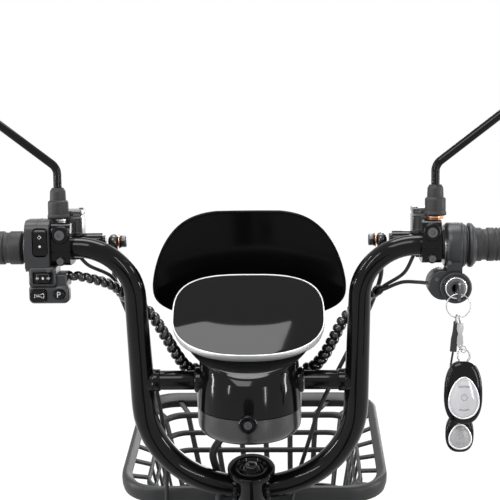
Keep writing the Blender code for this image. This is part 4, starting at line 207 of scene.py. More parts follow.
def ball(radius, middle, axis):
    """A ball turned about an axis."""
    arc = [(radius * math.cos(a), radius * math.sin(a)) for a in degrees(-75, 76, 15)]
    return lathe([(0, -radius)] + arc + [(0, radius)], middle, axis, 32, soft=0)


def from_work(work):
    """Corners and faces of a bmesh, which is used up."""
    work.verts.index_update()
    result = [v.co.copy() for v in work.verts], [tuple(v.index for v in f.verts) for f in work.faces]
    work.free()
    return result


def block(low, high, soft=0.0015, steps=3):
    """A box between two corners with rounded edges."""
    work = bmesh.new()
    bmesh.ops.create_cube(work, size=1.0)
    low = Vector(low)
    high = Vector(high)
    for vert in work.verts:
        vert.co = Vector([(low[i] + high[i]) / 2 + vert.co[i] * abs(high[i] - low[i]) for i in range(3)])
    if soft:
        bmesh.ops.bevel(work, geom=work.edges[:], offset=soft, segments=steps, affect="EDGES", profile=0.5)
    return from_work(work)


def plate(outline, middle, across, upright, thickness, soft=0.0008, steps=2):
    """Extrude an outline of (across, upright) pairs both ways by half its thickness, its rims rounded."""
    normal = across.cross(upright)
    work = bmesh.new()
    rings = []
    for offset in (-thickness / 2, thickness / 2):
        rings.append([work.verts.new(middle + u * across + v * upright + offset * normal)
                      for u, v in outline])
    low = work.faces.new(rings[0])
    high = work.faces.new(rings[1])
    count = len(outline)
    for j in range(count):
        k = (j + 1) % count
        work.faces.new((rings[0][j], rings[0][k], rings[1][k], rings[1][j]))
    if soft:
        rims = list(low.edges) + list(high.edges)
        bmesh.ops.bevel(work, geom=rims, offset=soft, segments=steps, affect="EDGES", profile=0.5)
    return from_work(work)


def side_plate(outline, low, high, soft=0.0012, steps=3):
    """An outline given ahead and up from the bar, extruded across the bicycle."""
    return plate(outline, bar((low + high) / 2, 0, 0), FORE, UP, high - low, soft, steps)


def rider_plate(outline, middle, thickness, soft=0.0008, steps=2):
    """An outline given across and up, extruded along the bicycle, so that it faces the rider."""
    return plate(outline, middle, ACROSS, UP, thickness, soft, steps)


def oval(half_width, half_height, count=64, power=2.0, start=0.0):
    """A rounded outline; a power of 2 is an ellipse and a higher one is squarer."""
    result = []
    for turn in turns(count):
        angle = start + turn
        result.append((half_width * raised(math.cos(angle), 2 / power),
                       half_height * raised(math.sin(angle), 2 / power)))
    return result


def rounded_rectangle(half_width, half_depth, radius, steps=6):
    """Corner arcs of a rectangle, starting at its right side and going round."""
    result = []
    for turn, (sx, sy) in enumerate(((1, 1), (-1, 1), (-1, -1), (1, -1))):
        for k in range(steps + 1):
            angle = math.radians(90) * (turn + k / steps)
            result.append((sx * (half_width - radius) + radius * math.cos(angle),
                           sy * (half_depth - radius) + radius * math.sin(angle)))
    return result


def eased(outline, radius, steps=5):
    """Round the corners of a closed outline of pairs."""
    result = []
    count = len(outline)
    for i in range(count):
        here = Vector(outline[i])
        before = Vector(outline[i - 1]) - here
        after = Vector(outline[(i + 1) % count]) - here
        reach = min(radius, before.length * 0.45, after.length * 0.45)
        a = here + before.normalized() * reach
        c = here + after.normalized() * reach
        for k in range(steps + 1):
            t = k / steps
            result.append(tuple((1 - t) ** 2 * a + 2 * t * (1 - t) * here + t ** 2 * c))
    return result


def bend(corners, radii, steps=10):
    """Corner points joined by straight runs, with an arc at each inner corner."""
    corners = [Vector(corner) for corner in corners]
    result = [corners[0]]
    for i in range(1, len(corners) - 1):
        inward = (corners[i - 1] - corners[i]).normalized()
        outward = (corners[i + 1] - corners[i]).normalized()
        half = inward.angle(outward) / 2
        reach = radii[i - 1] / math.tan(half)
        centre = corners[i] + (inward + outward).normalized() * (radii[i - 1] / math.sin(half))
        first = corners[i] + reach * inward - centre
        last = corners[i] + reach * outward - centre
        turn = first.angle(last)
        for k in range(steps + 1):
            share = k / steps
            point = (math.sin((1 - share) * turn) * first + math.sin(share * turn) * last) / math.sin(turn)
            result.append(centre + point)
    result.append(corners[-1])
    return result


def flowing(points, steps=12):
    """A smooth curve through chosen points."""
    points = [Vector(point) for point in points]
    padded = [2 * points[0] - points[1]] + points + [2 * points[-1] - points[-2]]
    result = []
    for i in range(1, len(padded) - 2):
        a, b, c, d = padded[i - 1:i + 3]
        for k in range(steps):
            t = k / steps
            result.append(0.5 * ((2 * b) + (c - a) * t + (2 * a - 5 * b + 4 * c - d) * t ** 2
                                 + (3 * b - a - 3 * c + d) * t ** 3))
    result.append(points[-1])
    return result


def evenly(points, spacing):
    """The same route with points at an even spacing."""
    lengths = [0.0]
    for before, after in zip(points, points[1:]):
        lengths.append(lengths[-1] + (after - before).length)
    count = max(2, round(lengths[-1] / spacing))
    result = []
    k = 0
    for i in range(count + 1):
        reach = lengths[-1] * i / count
        while k < len(points) - 2 and lengths[k + 1] < reach:
            k += 1
        result.append(points[k].lerp(points[k + 1], (reach - lengths[k]) / (lengths[k + 1] - lengths[k])))
    return result


def weld(start, end, radius, axis_out, size=0.0018, waves=26):
    """A rippled weld bead round the foot of a tube of this radius; start to end is the tube's direction."""
    direction = (Vector(end) - Vector(start)).normalized()
    side = direction.orthogonal().normalized()
    other = direction.cross(side)
    points = []
    sizes = []
    for angle in turns(waves * 4):
        points.append(Vector(start) + radius * (math.cos(angle) * side + math.sin(angle) * other))
        sizes.append(size * (1 + 0.22 * math.cos(angle * waves)))
    return sweep(points, sizes, sides=8, closed=True, hint=axis_out)


def linked(name, data):
    """An object in the scene with this data."""
    obj = bpy.data.objects.new(name, data)
    bpy.context.collection.objects.link(obj)
    return obj


def solid(name, corners, faces):
    """An object of these corners and faces, its doubles merged and its faces turned outwards."""
    mesh = bpy.data.meshes.new(name)
    mesh.from_pydata([tuple(c) for c in corners], [], faces)
    work = bmesh.new()
    work.from_mesh(mesh)
    bmesh.ops.remove_doubles(work, verts=work.verts, dist=1e-6)
    bmesh.ops.recalc_face_normals(work, faces=work.faces)
    work.to_mesh(mesh)
    work.free()
    return linked(name, mesh)


def seen(name, parts, body, finish, nodes=(), cuts=(), bevel=0.0, angle=32, levels=0):
    """Make one piece of these shapes: cut it, soften it, give it a finish and let it ride on its body."""
    corners = []
    faces = []
    for part_corners, part_faces in parts:
        base = len(corners)
        corners += part_corners
        faces += [tuple(base + i for i in face) for face in part_faces]
    obj = solid(name, corners, faces)
    tools = [solid("tool", *cut) for cut in cuts]
    for tool in tools:
        step = obj.modifiers.new("cut", "BOOLEAN")
        step.operation = "DIFFERENCE"
        step.solver = "EXACT"
        step.use_self = len(parts) > 1
        step.object = tool
    if bevel:
        step = obj.modifiers.new("soften", "BEVEL")
        step.width = bevel
        step.segments = 2
        step.limit_method = "ANGLE"
        step.angle_limit = math.radians(30)
    if levels:
        step = obj.modifiers.new("smooth", "SUBSURF")
        step.levels = step.render_levels = levels
    if obj.modifiers:
        settle(obj)
    for tool in tools:
        bpy.data.objects.remove(tool, do_unlink=True)
    return dressed(obj, body, finish, nodes, angle)


def settle(obj):
    """Turn an object's modifiers into plain mesh."""
    done = bpy.data.meshes.new_from_object(obj.evaluated_get(bpy.context.evaluated_depsgraph_get()))
    obj.modifiers.clear()
    obj.data = done


def dressed(obj, body, finish, nodes=(), angle=32):
    """Smooth a finished piece, give it its material and tie it to its body and nodes."""
    obj.data.materials.clear()
    obj.data.materials.append(finish.material)
    for face in obj.data.polygons:
        face.material_index = 0
    obj.data.shade_smooth()
    obj.data.set_sharp_from_angle(angle=math.radians(angle))
    if isinstance(body, tuple):
        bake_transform(obj)
    else:
        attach(obj, body)
    if nodes:
        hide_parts(*nodes)
    return obj


# Finishes

def join(tree, socket, value):
    """Fill a socket with a plain value, or link it to the socket that the value comes from."""
    if isinstance(value, Wire):
        value = value.socket
    if isinstance(value, bpy.types.NodeSocket):
        tree.links.new(value, socket)
    else:
        socket.default_value = value


def add_node(tree, kind, sockets, output=0, **settings):
    """Make a node with these settings and filled or linked sockets; the result is one of its outputs."""
    made = tree.nodes.new(kind)
    for key, value in settings.items():
        setattr(made, key, value)
    for key, value in sockets.items():
        join(tree, made.inputs[key], value)
    return made.outputs[output]


class Wire:
    """A shader value: added or multiplied, it makes the node that does so."""

    def __init__(self, finish, socket):
        self.finish = finish
        self.socket = socket

    def __add__(self, other):
        return self.finish.node("ShaderNodeMath", {0: self, 1: other}, operation="ADD")

    def __mul__(self, other):
        return self.finish.node("ShaderNodeMath", {0: self, 1: other}, operation="MULTIPLY")

    def above(self, edge, width):
        """0 below an edge and 1 above it, with a ramp of this width."""
        limits = {"Value": self, "From Min": edge - width / 2, "From Max": edge + width / 2}
        return self.finish.node("ShaderNodeMapRange", limits, interpolation_type="SMOOTHSTEP")


class Finish:
    """One material round a Principled shader, with the record slot that it stands for."""

    def __init__(self, name, slot, colour, roughness, metallic=0.0, coat=0.0, **plain):
        self.slot = slot
        self.material = bpy.data.materials.new(name)
        self.material.use_nodes = True
        self.tree = self.material.node_tree
        self.shader = self.tree.nodes["Principled BSDF"]
        self.feed("Base Color", (*colour, 1))
        self.feed("Roughness", roughness)
        self.feed("Metallic", metallic)
        self.feed("Coat Weight", coat)
        for socket, value in plain.items():
            self.feed(socket.replace("_", " "), value)

    def node(self, kind, sockets, output=0, **settings):
        return Wire(self, add_node(self.tree, kind, sockets, output, **settings))

    def feed(self, socket, value):
        join(self.tree, self.shader.inputs[socket], value)

    def point(self):
        return self.node("ShaderNodeTexCoord", {}, "Object")

    def noise(self, scale, detail=3.0, roughness=0.55, stretch=None):
        where = self.point()
        if stretch:
            where = self.node("ShaderNodeMapping", {"Vector": where, "Scale": stretch})
        kind = {"Vector": where, "Scale": scale, "Detail": detail, "Roughness": roughness}
        return self.node("ShaderNodeTexNoise", kind, "Fac")

    def cells(self, scale):
        sockets = {"Vector": self.point(), "Scale": scale}
        return self.node("ShaderNodeTexVoronoi", sockets, "Distance", feature="DISTANCE_TO_EDGE")

    def blend(self, share, first, second):
        """A colour between two, by a share from 0 to 1; the colours are the node's sockets 6 and 7."""
        return self.node("ShaderNodeMix", {0: share, 6: (*first, 1), 7: (*second, 1)}, 2, data_type="RGBA")

    def bump(self, height, distance):
        sockets = {"Height": height, "Distance": distance, "Strength": 1.0}
        self.feed("Normal", self.node("ShaderNodeBump", sockets))


def paint(name, slot, colour, roughness, coat, wave, **plain):
    """Sprayed paint: a faint orange peel, dust specks and slightly uneven gloss."""
    finish = Finish(name, slot, colour, roughness, coat=coat, Coat_Roughness=0.04, **plain)
    dust = finish.noise(900, 2).above(0.72, 0.06)
    drift = finish.noise(14, 4)
    finish.feed("Roughness", drift * 0.10 + (roughness - 0.05) + dust * 0.12)
    finish.feed("Base Color",
                finish.blend(drift * 0.5 + dust * 0.15, colour, tuple(c * 1.6 + 0.004 for c in colour)))
    finish.bump(finish.noise(260, 2), wave)
    return finish


def moulded(name, slot, colour, roughness, grain, depth, coat=0.0, **plain):
    """Moulded plastic or rubber with a fine grain and slight handling wear."""
    finish = Finish(name, slot, colour, roughness, coat=coat, **plain)
    drift = finish.noise(22, 5)
    finish.feed("Roughness", drift * 0.16 + (roughness - 0.08))
    finish.feed("Base Color",
                finish.blend(drift, tuple(c * 0.75 for c in colour), tuple(c * 1.35 for c in colour)))
    finish.bump(finish.noise(grain, 2) + finish.cells(grain * 0.6) * 0.8, depth)
    return finish


def metal(name, slot, colour, roughness, stretch, tint=0.12, metallic=1.0):
    """Bare metal with fine drawn or turned lines and faint stains."""
    finish = Finish(name, slot, colour, roughness, metallic=metallic)
    lines = finish.noise(120, 3, 0.6, stretch)
    stains = finish.noise(30, 4)
    finish.feed("Roughness", lines * 0.16 + stains * 0.10 + (roughness - 0.12))
    finish.feed("Base Color", finish.blend(stains, tuple(c * (1 - tint) for c in colour), colour))
    finish.bump(lines, 0.00003)
    return finish


GLOSS = paint("gloss black paint", "gloss_black_paint", (0.0018, 0.0018, 0.0022), 0.10, 0.06, 0.000008,
              Specular_IOR_Level=0.13)
SATIN = paint("satin black paint", "satin_black_paint", (0.008, 0.008, 0.0085), 0.26, 0.25, 0.00005)
PLASTIC = moulded("grained black plastic", "black_plastic", (0.013, 0.0136, 0.0152), 0.40, 1500, 0.00005,
                  Specular_IOR_Level=0.40)
SHINY = moulded("polished black plastic", "gloss_black_plastic", (0.0025, 0.0025, 0.003), 0.11, 700, 0.000003,
                0.06, Specular_IOR_Level=0.15)
VISOR = moulded("smoked visor sheet", "gloss_black_plastic", (0.0022, 0.0022, 0.0024), 0.14, 500, 0.000002,
                Specular_IOR_Level=0.06)
BASKET = moulded("matte basket plastic", "basket_plastic", (0.011, 0.0113, 0.0122), 0.46, 900, 0.00008,
                 Specular_IOR_Level=0.35)
RUBBER = moulded("soft black rubber", "rubber", (0.013, 0.013, 0.0135), 0.52, 1100, 0.00006,
                 Specular_IOR_Level=0.35)
WRAP = moulded("wrap plastic", "rubber", (0.006, 0.006, 0.0065), 0.20, 900, 0.00001, 0.3)
TYRE = moulded("tyre rubber", "tyre_rubber", (0.020, 0.020, 0.0205), 0.68, 700, 0.0002)
BRIGHT = metal("bright plated metal", "bright_metal", (0.80, 0.80, 0.81), 0.20, (1.0, 1.0, 14.0), 0.05)
STEEL = metal("plain steel", "steel", (0.42, 0.42, 0.43), 0.36, (14.0, 1.0, 1.0))
DARK_STEEL = metal("blackened steel", "steel", (0.10, 0.10, 0.105), 0.38, (8.0, 1.0, 1.0))
COPPER = metal("copper washer", "bright_metal", (0.66, 0.30, 0.16), 0.30, (1.0, 1.0, 9.0))
CAST = paint("black cast alloy", "cast_alloy", (0.014, 0.014, 0.015), 0.34, 0.1, 0.00015)
MARK = Finish("white printed marks", "black_plastic", (0.55, 0.55, 0.55), 0.5)
MARK.feed("Base Color", MARK.blend(MARK.noise(700, 3), (0.48, 0.48, 0.48), (0.62, 0.62, 0.62)))
SILVER = metal("silver band", "bright_metal", (0.78, 0.78, 0.78), 0.36, (1.0, 18.0, 18.0), 0.04, 0.45)
MIRROR = Finish("mirror glass", "bright_metal", (0.85, 0.86, 0.88), 0.03, metallic=1.0)
MIRROR.feed("Roughness", MIRROR.noise(25, 4) * 0.03 + 0.015)
FOB_LENS = moulded("remote lens", "gloss_black_plastic", (0.50, 0.50, 0.52), 0.16, 160, 0.00012, 0.5)
TANK = paint("brake tank paint", "satin_black_paint", (0.055, 0.055, 0.056), 0.30, 0.2, 0.00006)
FOB_PAD = moulded("remote pad", "gloss_black_plastic", (0.30, 0.30, 0.31), 0.30, 900, 0.00002)
RED = Finish("red lens", "red_lens", (0.30, 0.004, 0.004), 0.12, coat=0.6)
RED.feed("Base Color", RED.blend(RED.cells(260), (0.20, 0.002, 0.002), (0.36, 0.006, 0.005)))
RED.bump(RED.cells(260), 0.00025)
LAMP_GLASS = Finish("clear lamp lens", "clear_lens", (0.62, 0.63, 0.64), 0.06, coat=0.8)
LAMP_GLASS.feed("Base Color", LAMP_GLASS.blend(LAMP_GLASS.cells(220), (0.50, 0.51, 0.52), (0.68, 0.69, 0.70)))
LAMP_GLASS.bump(LAMP_GLASS.cells(220), 0.0002)
SCREEN = Finish("black screen glass", "screen_glass", (0.0022, 0.0022, 0.0028), 0.06, coat=0.12,
                Coat_Roughness=0.02, Specular_IOR_Level=0.16)
SCREEN.feed("Roughness", SCREEN.noise(30, 3) * 0.03 + 0.045)
LEATHER = Finish("black leather", "black_leather", (0.011, 0.0105, 0.0105), 0.44, coat=0.03,
                 Specular_IOR_Level=0.22)
LEATHER.bump(LEATHER.cells(900) + LEATHER.noise(320, 4) * 0.5, 0.00018)
LEATHER.feed("Roughness", LEATHER.noise(40, 4) * 0.2 + 0.34)
STITCH = moulded("grey thread", "black_leather", (0.16, 0.16, 0.165), 0.7, 1800, 0.00005)


# Handlebar

def handlebar():
    """The U-shaped bar, its capped post with weld beads, and the stubs that carry the lamp pod."""
    half = bend([(0, 0, 0), (BAR_LEG_HALF - 0.004, 0, 0), (BAR_LEG_HALF, 0, BAR_HEIGHT),
                 (BAR_HALF_WIDTH - 0.002, 0, BAR_HEIGHT)], [0.115, 0.06], 16)
    path = [Vector((-p.x, 0, p.z)) for p in reversed(half[1:])] + half
    path = evenly(path, 0.006)
    points = [steer(p.x, 0, BAR_LOW + p.z) for p in path]
    swell = BAR_LOW_RADIUS - BAR_RADIUS
    radii = [BAR_RADIUS + swell * min(1, max(0, (BAR_HEIGHT - p.z) / (BAR_HEIGHT * 0.6))) for p in path]
    parts = [sweep(points, radii, 40, hint=AHEAD)]
    low = HEAD_TOP + 0.0005
    high = BAR_LOW + 0.029
    post = [(0, low), (0.020, low), (0.020, high - 0.0085), (0.0274, high - 0.0072), (0.0280, high - 0.006),
            (0.0280, high - 0.0012), (0.0262, high), (0.0180, high), (0.0165, high - 0.0034),
            (0.0128, high - 0.0036), (0.0118, high - 0.0020), (0.0112, high - 0.0036), (0, high - 0.0036)]
    parts.append(lathe(post, steer(0, 0, 0), UPWARD, 96, soft=0.0008))
    level = CROSSBAR_S
    for side in (-1, 1):
        inner = steer(side * 0.062, 0, level)
        outer = steer(side * (BAR_LEG_HALF - 0.004), 0, level)
        parts.append(rod(inner, outer, 0.011, 40))
        parts.append(rod(steer(side * (BAR_LEG_HALF - 0.023), 0, level),
                         steer(side * (BAR_LEG_HALF - 0.0065), 0, level), 0.0125, 40, 0.0012))
        parts.append(weld(steer(side * (BAR_LEG_HALF - 0.0145), 0, level), outer, 0.0115, AHEAD, 0.0015, 20))
        parts.append(weld(steer(side * 0.0195, 0, BAR_LOW), steer(side * 0.03, 0, BAR_LOW), 0.0140, AHEAD,
                          0.0026, 18))
    seen("handlebar_tubes", parts, "steering", GLOSS, ("handlebar",))
    top = steer(0, 0, high - 0.0036)
    washer = lathe([(0.0068, 0), (0.0098, 0), (0.0098, 0.0012), (0.0068, 0.0012)], top, UPWARD, 48, True,
                   0.0003)
    bolt = lathe([(0, 0.0008), (0.0078, 0.0008), (0.0078, 0.0058), (0.0070, 0.0066), (0, 0.0066)], top,
                 UPWARD, 6, soft=0)
    socket = lathe([(0, 0.003), (0.0036, 0.003), (0.0036, 0.02), (0, 0.02)], top, UPWARD, 6, soft=0)
    seen("post_bolt", [bolt], "steering", DARK_STEEL, cuts=[socket], bevel=0.0004)
    seen("post_washer", [washer], "steering", DARK_STEEL)


def ribbed_profile(inner, outer, pitch, depth, first):
    """A grip's outline from its inner end to its closed outer end, ribbed between its collars."""
    radius = GRIP_RADIUS
    profile = [(GRIP_BORE, inner), (radius - 0.0032, inner), (radius, inner + 0.0024),
               (radius, inner + 0.0148), (radius - 0.0014, inner + 0.0160), (radius - 0.0014, inner + 0.0205),
               (radius, inner + 0.0216), (radius, inner + first)]
    reach = inner + first
    while reach + pitch < outer - 0.014:
        profile += [(radius - depth, reach + pitch * 0.22), (radius - depth, reach + pitch * 0.50),
                    (radius, reach + pitch * 0.72), (radius, reach + pitch)]
        reach += pitch
    return profile + [(radius, outer - 0.005), (radius - 0.004, outer), (0, outer)]


def grips():
    outer = BAR_HALF_WIDTH + 0.005
    for name, node, side, inner, body in (("left_grip_sleeve", "grip_left", -1, 0.2385, "steering"),
                                          ("throttle_sleeve", "throttle_grip", 1, 0.2352, "throttle")):
        profile = ribbed_profile(inner, outer, 0.0042, 0.0007, 0.028)
        seen(name, [lathe(profile, GRIP_MIDDLE, side * ACROSS, 72, soft=0.0005)], body, RUBBER, (node,))
    rim = lathe([(0.0150, 0.2338), (0.0196, 0.2338), (0.0202, 0.2347), (0.0202, 0.2350), (0.0150, 0.2350)],
                GRIP_MIDDLE, ACROSS, 72, True, 0.0002)
    seen("throttle_inner_ring", [rim], "steering", DARK_STEEL)


# Left controls

def tip_mark(name, outline, middle, body, thickness=0.0002, finish=MARK):
    """A thin printed mark, given as an outline on a face."""
    return seen(name, [rider_plate(outline, middle, thickness, 0)], body, finish)


def switch_housing():
    """Barrel, turn-switch box and horn box, parted by a moulding line, with wells for the four switches."""
    outline = eased([(-0.026, -0.0225), (-0.0175, -0.0235), (0.016, -0.0235), (0.022, -0.014), (0.022, 0.020),
                     (0.014, 0.0305), (-0.016, 0.0310), (-0.0245, 0.0255), (-0.026, 0.012)], 0.010, 8)
    barrel = side_plate(outline, -0.2337, -0.2078, 0.0022, 4)
    flange = lathe([(0, 0), (0.0195, 0), (0.0205, 0.0012), (0.0205, 0.0030), (0.0188, 0.0042), (0, 0.0042)],
                   bar(-0.2367, 0, 0.001), ACROSS, 64, soft=0.0005)
    turn_box = block(bar(-0.2303, -0.0265, -0.0392), bar(-0.2012, 0.006, -0.0175), 0.0032, 4)
    low_box = block(bar(-0.2318, -0.0232, -0.0580), bar(-0.1888, -0.003, -0.0370), 0.0056, 6)
    side_box = block(bar(-0.2040, -0.0212, -0.0415), bar(-0.1907, 0.010, -0.0262), 0.0020, 3)
    wells = [rider_plate(shape, bar(*place), deep, 0) for shape, place, deep in (
        (rounded_rectangle(0.0084, 0.0155, 0.0052, 6), (-0.2172, -0.0255, 0.0082), 0.014),
        (rounded_rectangle(0.0112, 0.0066, 0.0020, 4), (-0.2146, -0.0265, -0.0294), 0.012),
        (rounded_rectangle(0.0090, 0.0070, 0.0026, 4), (-0.2208, -0.0238, -0.0488), 0.012),
        (oval(0.0070, 0.0056, 32), (-0.1985, -0.0238, -0.0475), 0.012))]
    bore = rod(bar(-0.245, 0, 0), bar(-0.200, 0, 0), BAR_BORE, 40, 0)
    groove = rod(bar(-0.203, 0.010, 0.010), bar(-0.203, 0.010, 0.06), 0.0112, 32, 0)
    seen("left_switch_case", [barrel, flange, turn_box, low_box, side_box], "steering", PLASTIC,
         ("switch_housing",), cuts=[bore, groove] + wells)
    seam = [bar(-0.2205, u * 1.0015, v * 1.0015 + 0.00005) for u, v in outline if v > -0.018 and u > -0.024]
    seen("switch_case_seam", [sweep(seam, 0.00035, 6)], "steering", RUBBER)
    screws((bar(-0.2090, -0.0262, -0.0215), bar(-0.1935, -0.0236, -0.0400)), 0.0019, "switch_case_screws")


def laid(name, mesh, sizes, build, body, finish):
    """A piece made by geometry nodes: build turns the mesh's places and the named sizes into copies."""
    tree = bpy.data.node_groups.new(name + " nodes", "GeometryNodeTree")
    new_socket = tree.interface.new_socket
    new_socket("Places", in_out="INPUT", socket_type="NodeSocketGeometry")
    inputs = [new_socket(size, in_out="INPUT", socket_type="NodeSocketFloat") for size in sizes]
    new_socket("Copies", in_out="OUTPUT", socket_type="NodeSocketGeometry")
    given = tree.nodes.new("NodeGroupInput")
    copies = build(tree, *(given.outputs[key] for key in ("Places", *sizes)))
    real = add_node(tree, "GeometryNodeRealizeInstances", {0: copies})
    painted = add_node(tree, "GeometryNodeSetMaterial", {0: real, "Material": finish.material})
    tree.links.new(painted, tree.nodes.new("NodeGroupOutput").inputs[0])
    obj = linked(name, mesh)
    step = obj.modifiers.new("copies", "NODES")
    step.node_group = tree
    for socket, size in zip(inputs, sizes.values()):
        step[socket.identifier] = size
    settle(obj)
    return dressed(obj, body, finish)


def times(tree, socket, factor):
    return add_node(tree, "ShaderNodeMath", {0: socket, 1: factor}, operation="MULTIPLY")


def screws(places, radius, name, out=-FORE, drive=4):
    """Small dark screws with a recess of this many sides, copied to each place by nodes."""
    def build(tree, points, size):
        inner = times(tree, size, 0.52)
        head = add_node(tree, "GeometryNodeMeshCylinder",
                        {"Vertices": 24, "Radius": size, "Depth": times(tree, size, 0.7)})
        recess = add_node(tree, "GeometryNodeMeshCylinder",
                          {"Vertices": drive, "Radius": inner, "Depth": size})
        lift = add_node(tree, "ShaderNodeCombineXYZ", {"Z": inner})
        recess = add_node(tree, "GeometryNodeTransform", {"Geometry": recess, "Translation": lift})
        carved = add_node(tree, "GeometryNodeMeshBoolean", {0: head, 1: recess}, operation="DIFFERENCE")
        turn = UP.rotation_difference(Vector(out)).to_euler()
        return add_node(tree, "GeometryNodeInstanceOnPoints",
                        {"Points": points, "Instance": carved, "Rotation": turn})

    mesh = bpy.data.meshes.new(name)
    mesh.from_pydata([tuple(p) for p in places], [], [])
    return laid(name, mesh, {"Head radius": radius}, build, "steering", DARK_STEEL)


def switches():
    """Beam rocker, turn thumb, horn and parking buttons, with their printed signs."""
    curve = eased([(-0.0245, 0.0225), (-0.0268, 0.0160), (-0.0246, 0.0079), (-0.0264, 0.0000),
                   (-0.0245, -0.0068), (-0.0215, -0.0068), (-0.0215, 0.0225)], 0.0040, 6)
    seen("beam_rocker_cap", [side_plate(curve, -0.2246, -0.2098, 0.0030, 5)], "beam_rocker", SHINY,
         ("beam_rocker",))
    thumb = [block(bar(-0.2220, -0.0282, -0.0350), bar(-0.2072, -0.0212, -0.0238), 0.0022, 4)]
    seen("turn_thumb", thumb, "turn_switch", SHINY, ("turn_switch",))
    horn = rider_plate(rounded_rectangle(0.0084, 0.0064, 0.0024, 6), bar(-0.2208, -0.0232, -0.0488), 0.0058,
                       0.0014, 4)
    seen("horn_cap", [horn], "horn_button", SHINY, ("horn_button",))
    parking = rider_plate(oval(0.0064, 0.0050, 40), bar(-0.1985, -0.0232, -0.0475), 0.0058, 0.0012, 4)
    seen("parking_cap", [parking], "parking_button", SHINY, ("parking_button",))
    face = -0.02625
    half = [(-0.0050, 0.0021), (-0.0034, 0.0008), (0.0006, 0.0009), (0.0030, 0.0019), (0.0044, 0.0026),
            (0.0049, 0.0012)]
    horn = [bar(-0.2194 + u, face, -0.0484 + v) for u, v in half + [(u, -v) for u, v in reversed(half)]]
    seen("horn_sign", [sweep(horn, 0.00032, 6, closed=True, hint=FORE)], "horn_button", MARK)
    stroke = [bar(-0.1999, face, -0.0503), bar(-0.1999, face, -0.0447)]
    bowl = [bar(-0.1999 + 0.0016 + 0.0013 * math.cos(a), face, -0.0462 + 0.0014 * math.sin(a))
            for a in degrees(90, -91, -18)]
    loop = [stroke[1]] + bowl + [bar(-0.1999, face, -0.0476)]
    seen("parking_sign", [sweep(stroke, 0.0004, 6), sweep(loop, 0.0004, 6, hint=FORE)], "parking_button",
         MARK)
    diamond = [bar(-0.2172 + u, -0.0271, 0.0140 + v)
               for u, v in ((0, 0.0019), (0.0019, 0), (0, -0.0019), (-0.0019, 0))]
    seen("beam_sign", [sweep(diamond, 0.00032, 6, closed=True, hint=FORE)], "beam_rocker", MARK)
    tip_mark("beam_dot", oval(0.0013, 0.0013, 20), bar(-0.2172, -0.0262, 0.0042), "beam_rocker", 0.0012)
    for side in (-1, 1):
        arrow = [(side * u, v)
                 for u, v in ((0.0028, 0), (0.0010, 0.0020), (0.0010, 0.0008), (-0.0008, 0.0008),
                              (-0.0008, -0.0008), (0.0010, -0.0008), (0.0010, -0.0020))]
        tip_mark("turn_sign_" + side_name(side), arrow,
                 bar(-0.2146 + side * 0.0050, -0.02825, -0.0294), "turn_switch", finish=FOB_PAD)
    tip_mark("turn_dot", oval(0.0013, 0.0013, 20), bar(-0.2146, -0.02825, -0.0294), "turn_switch")


# Brakes and mirrors

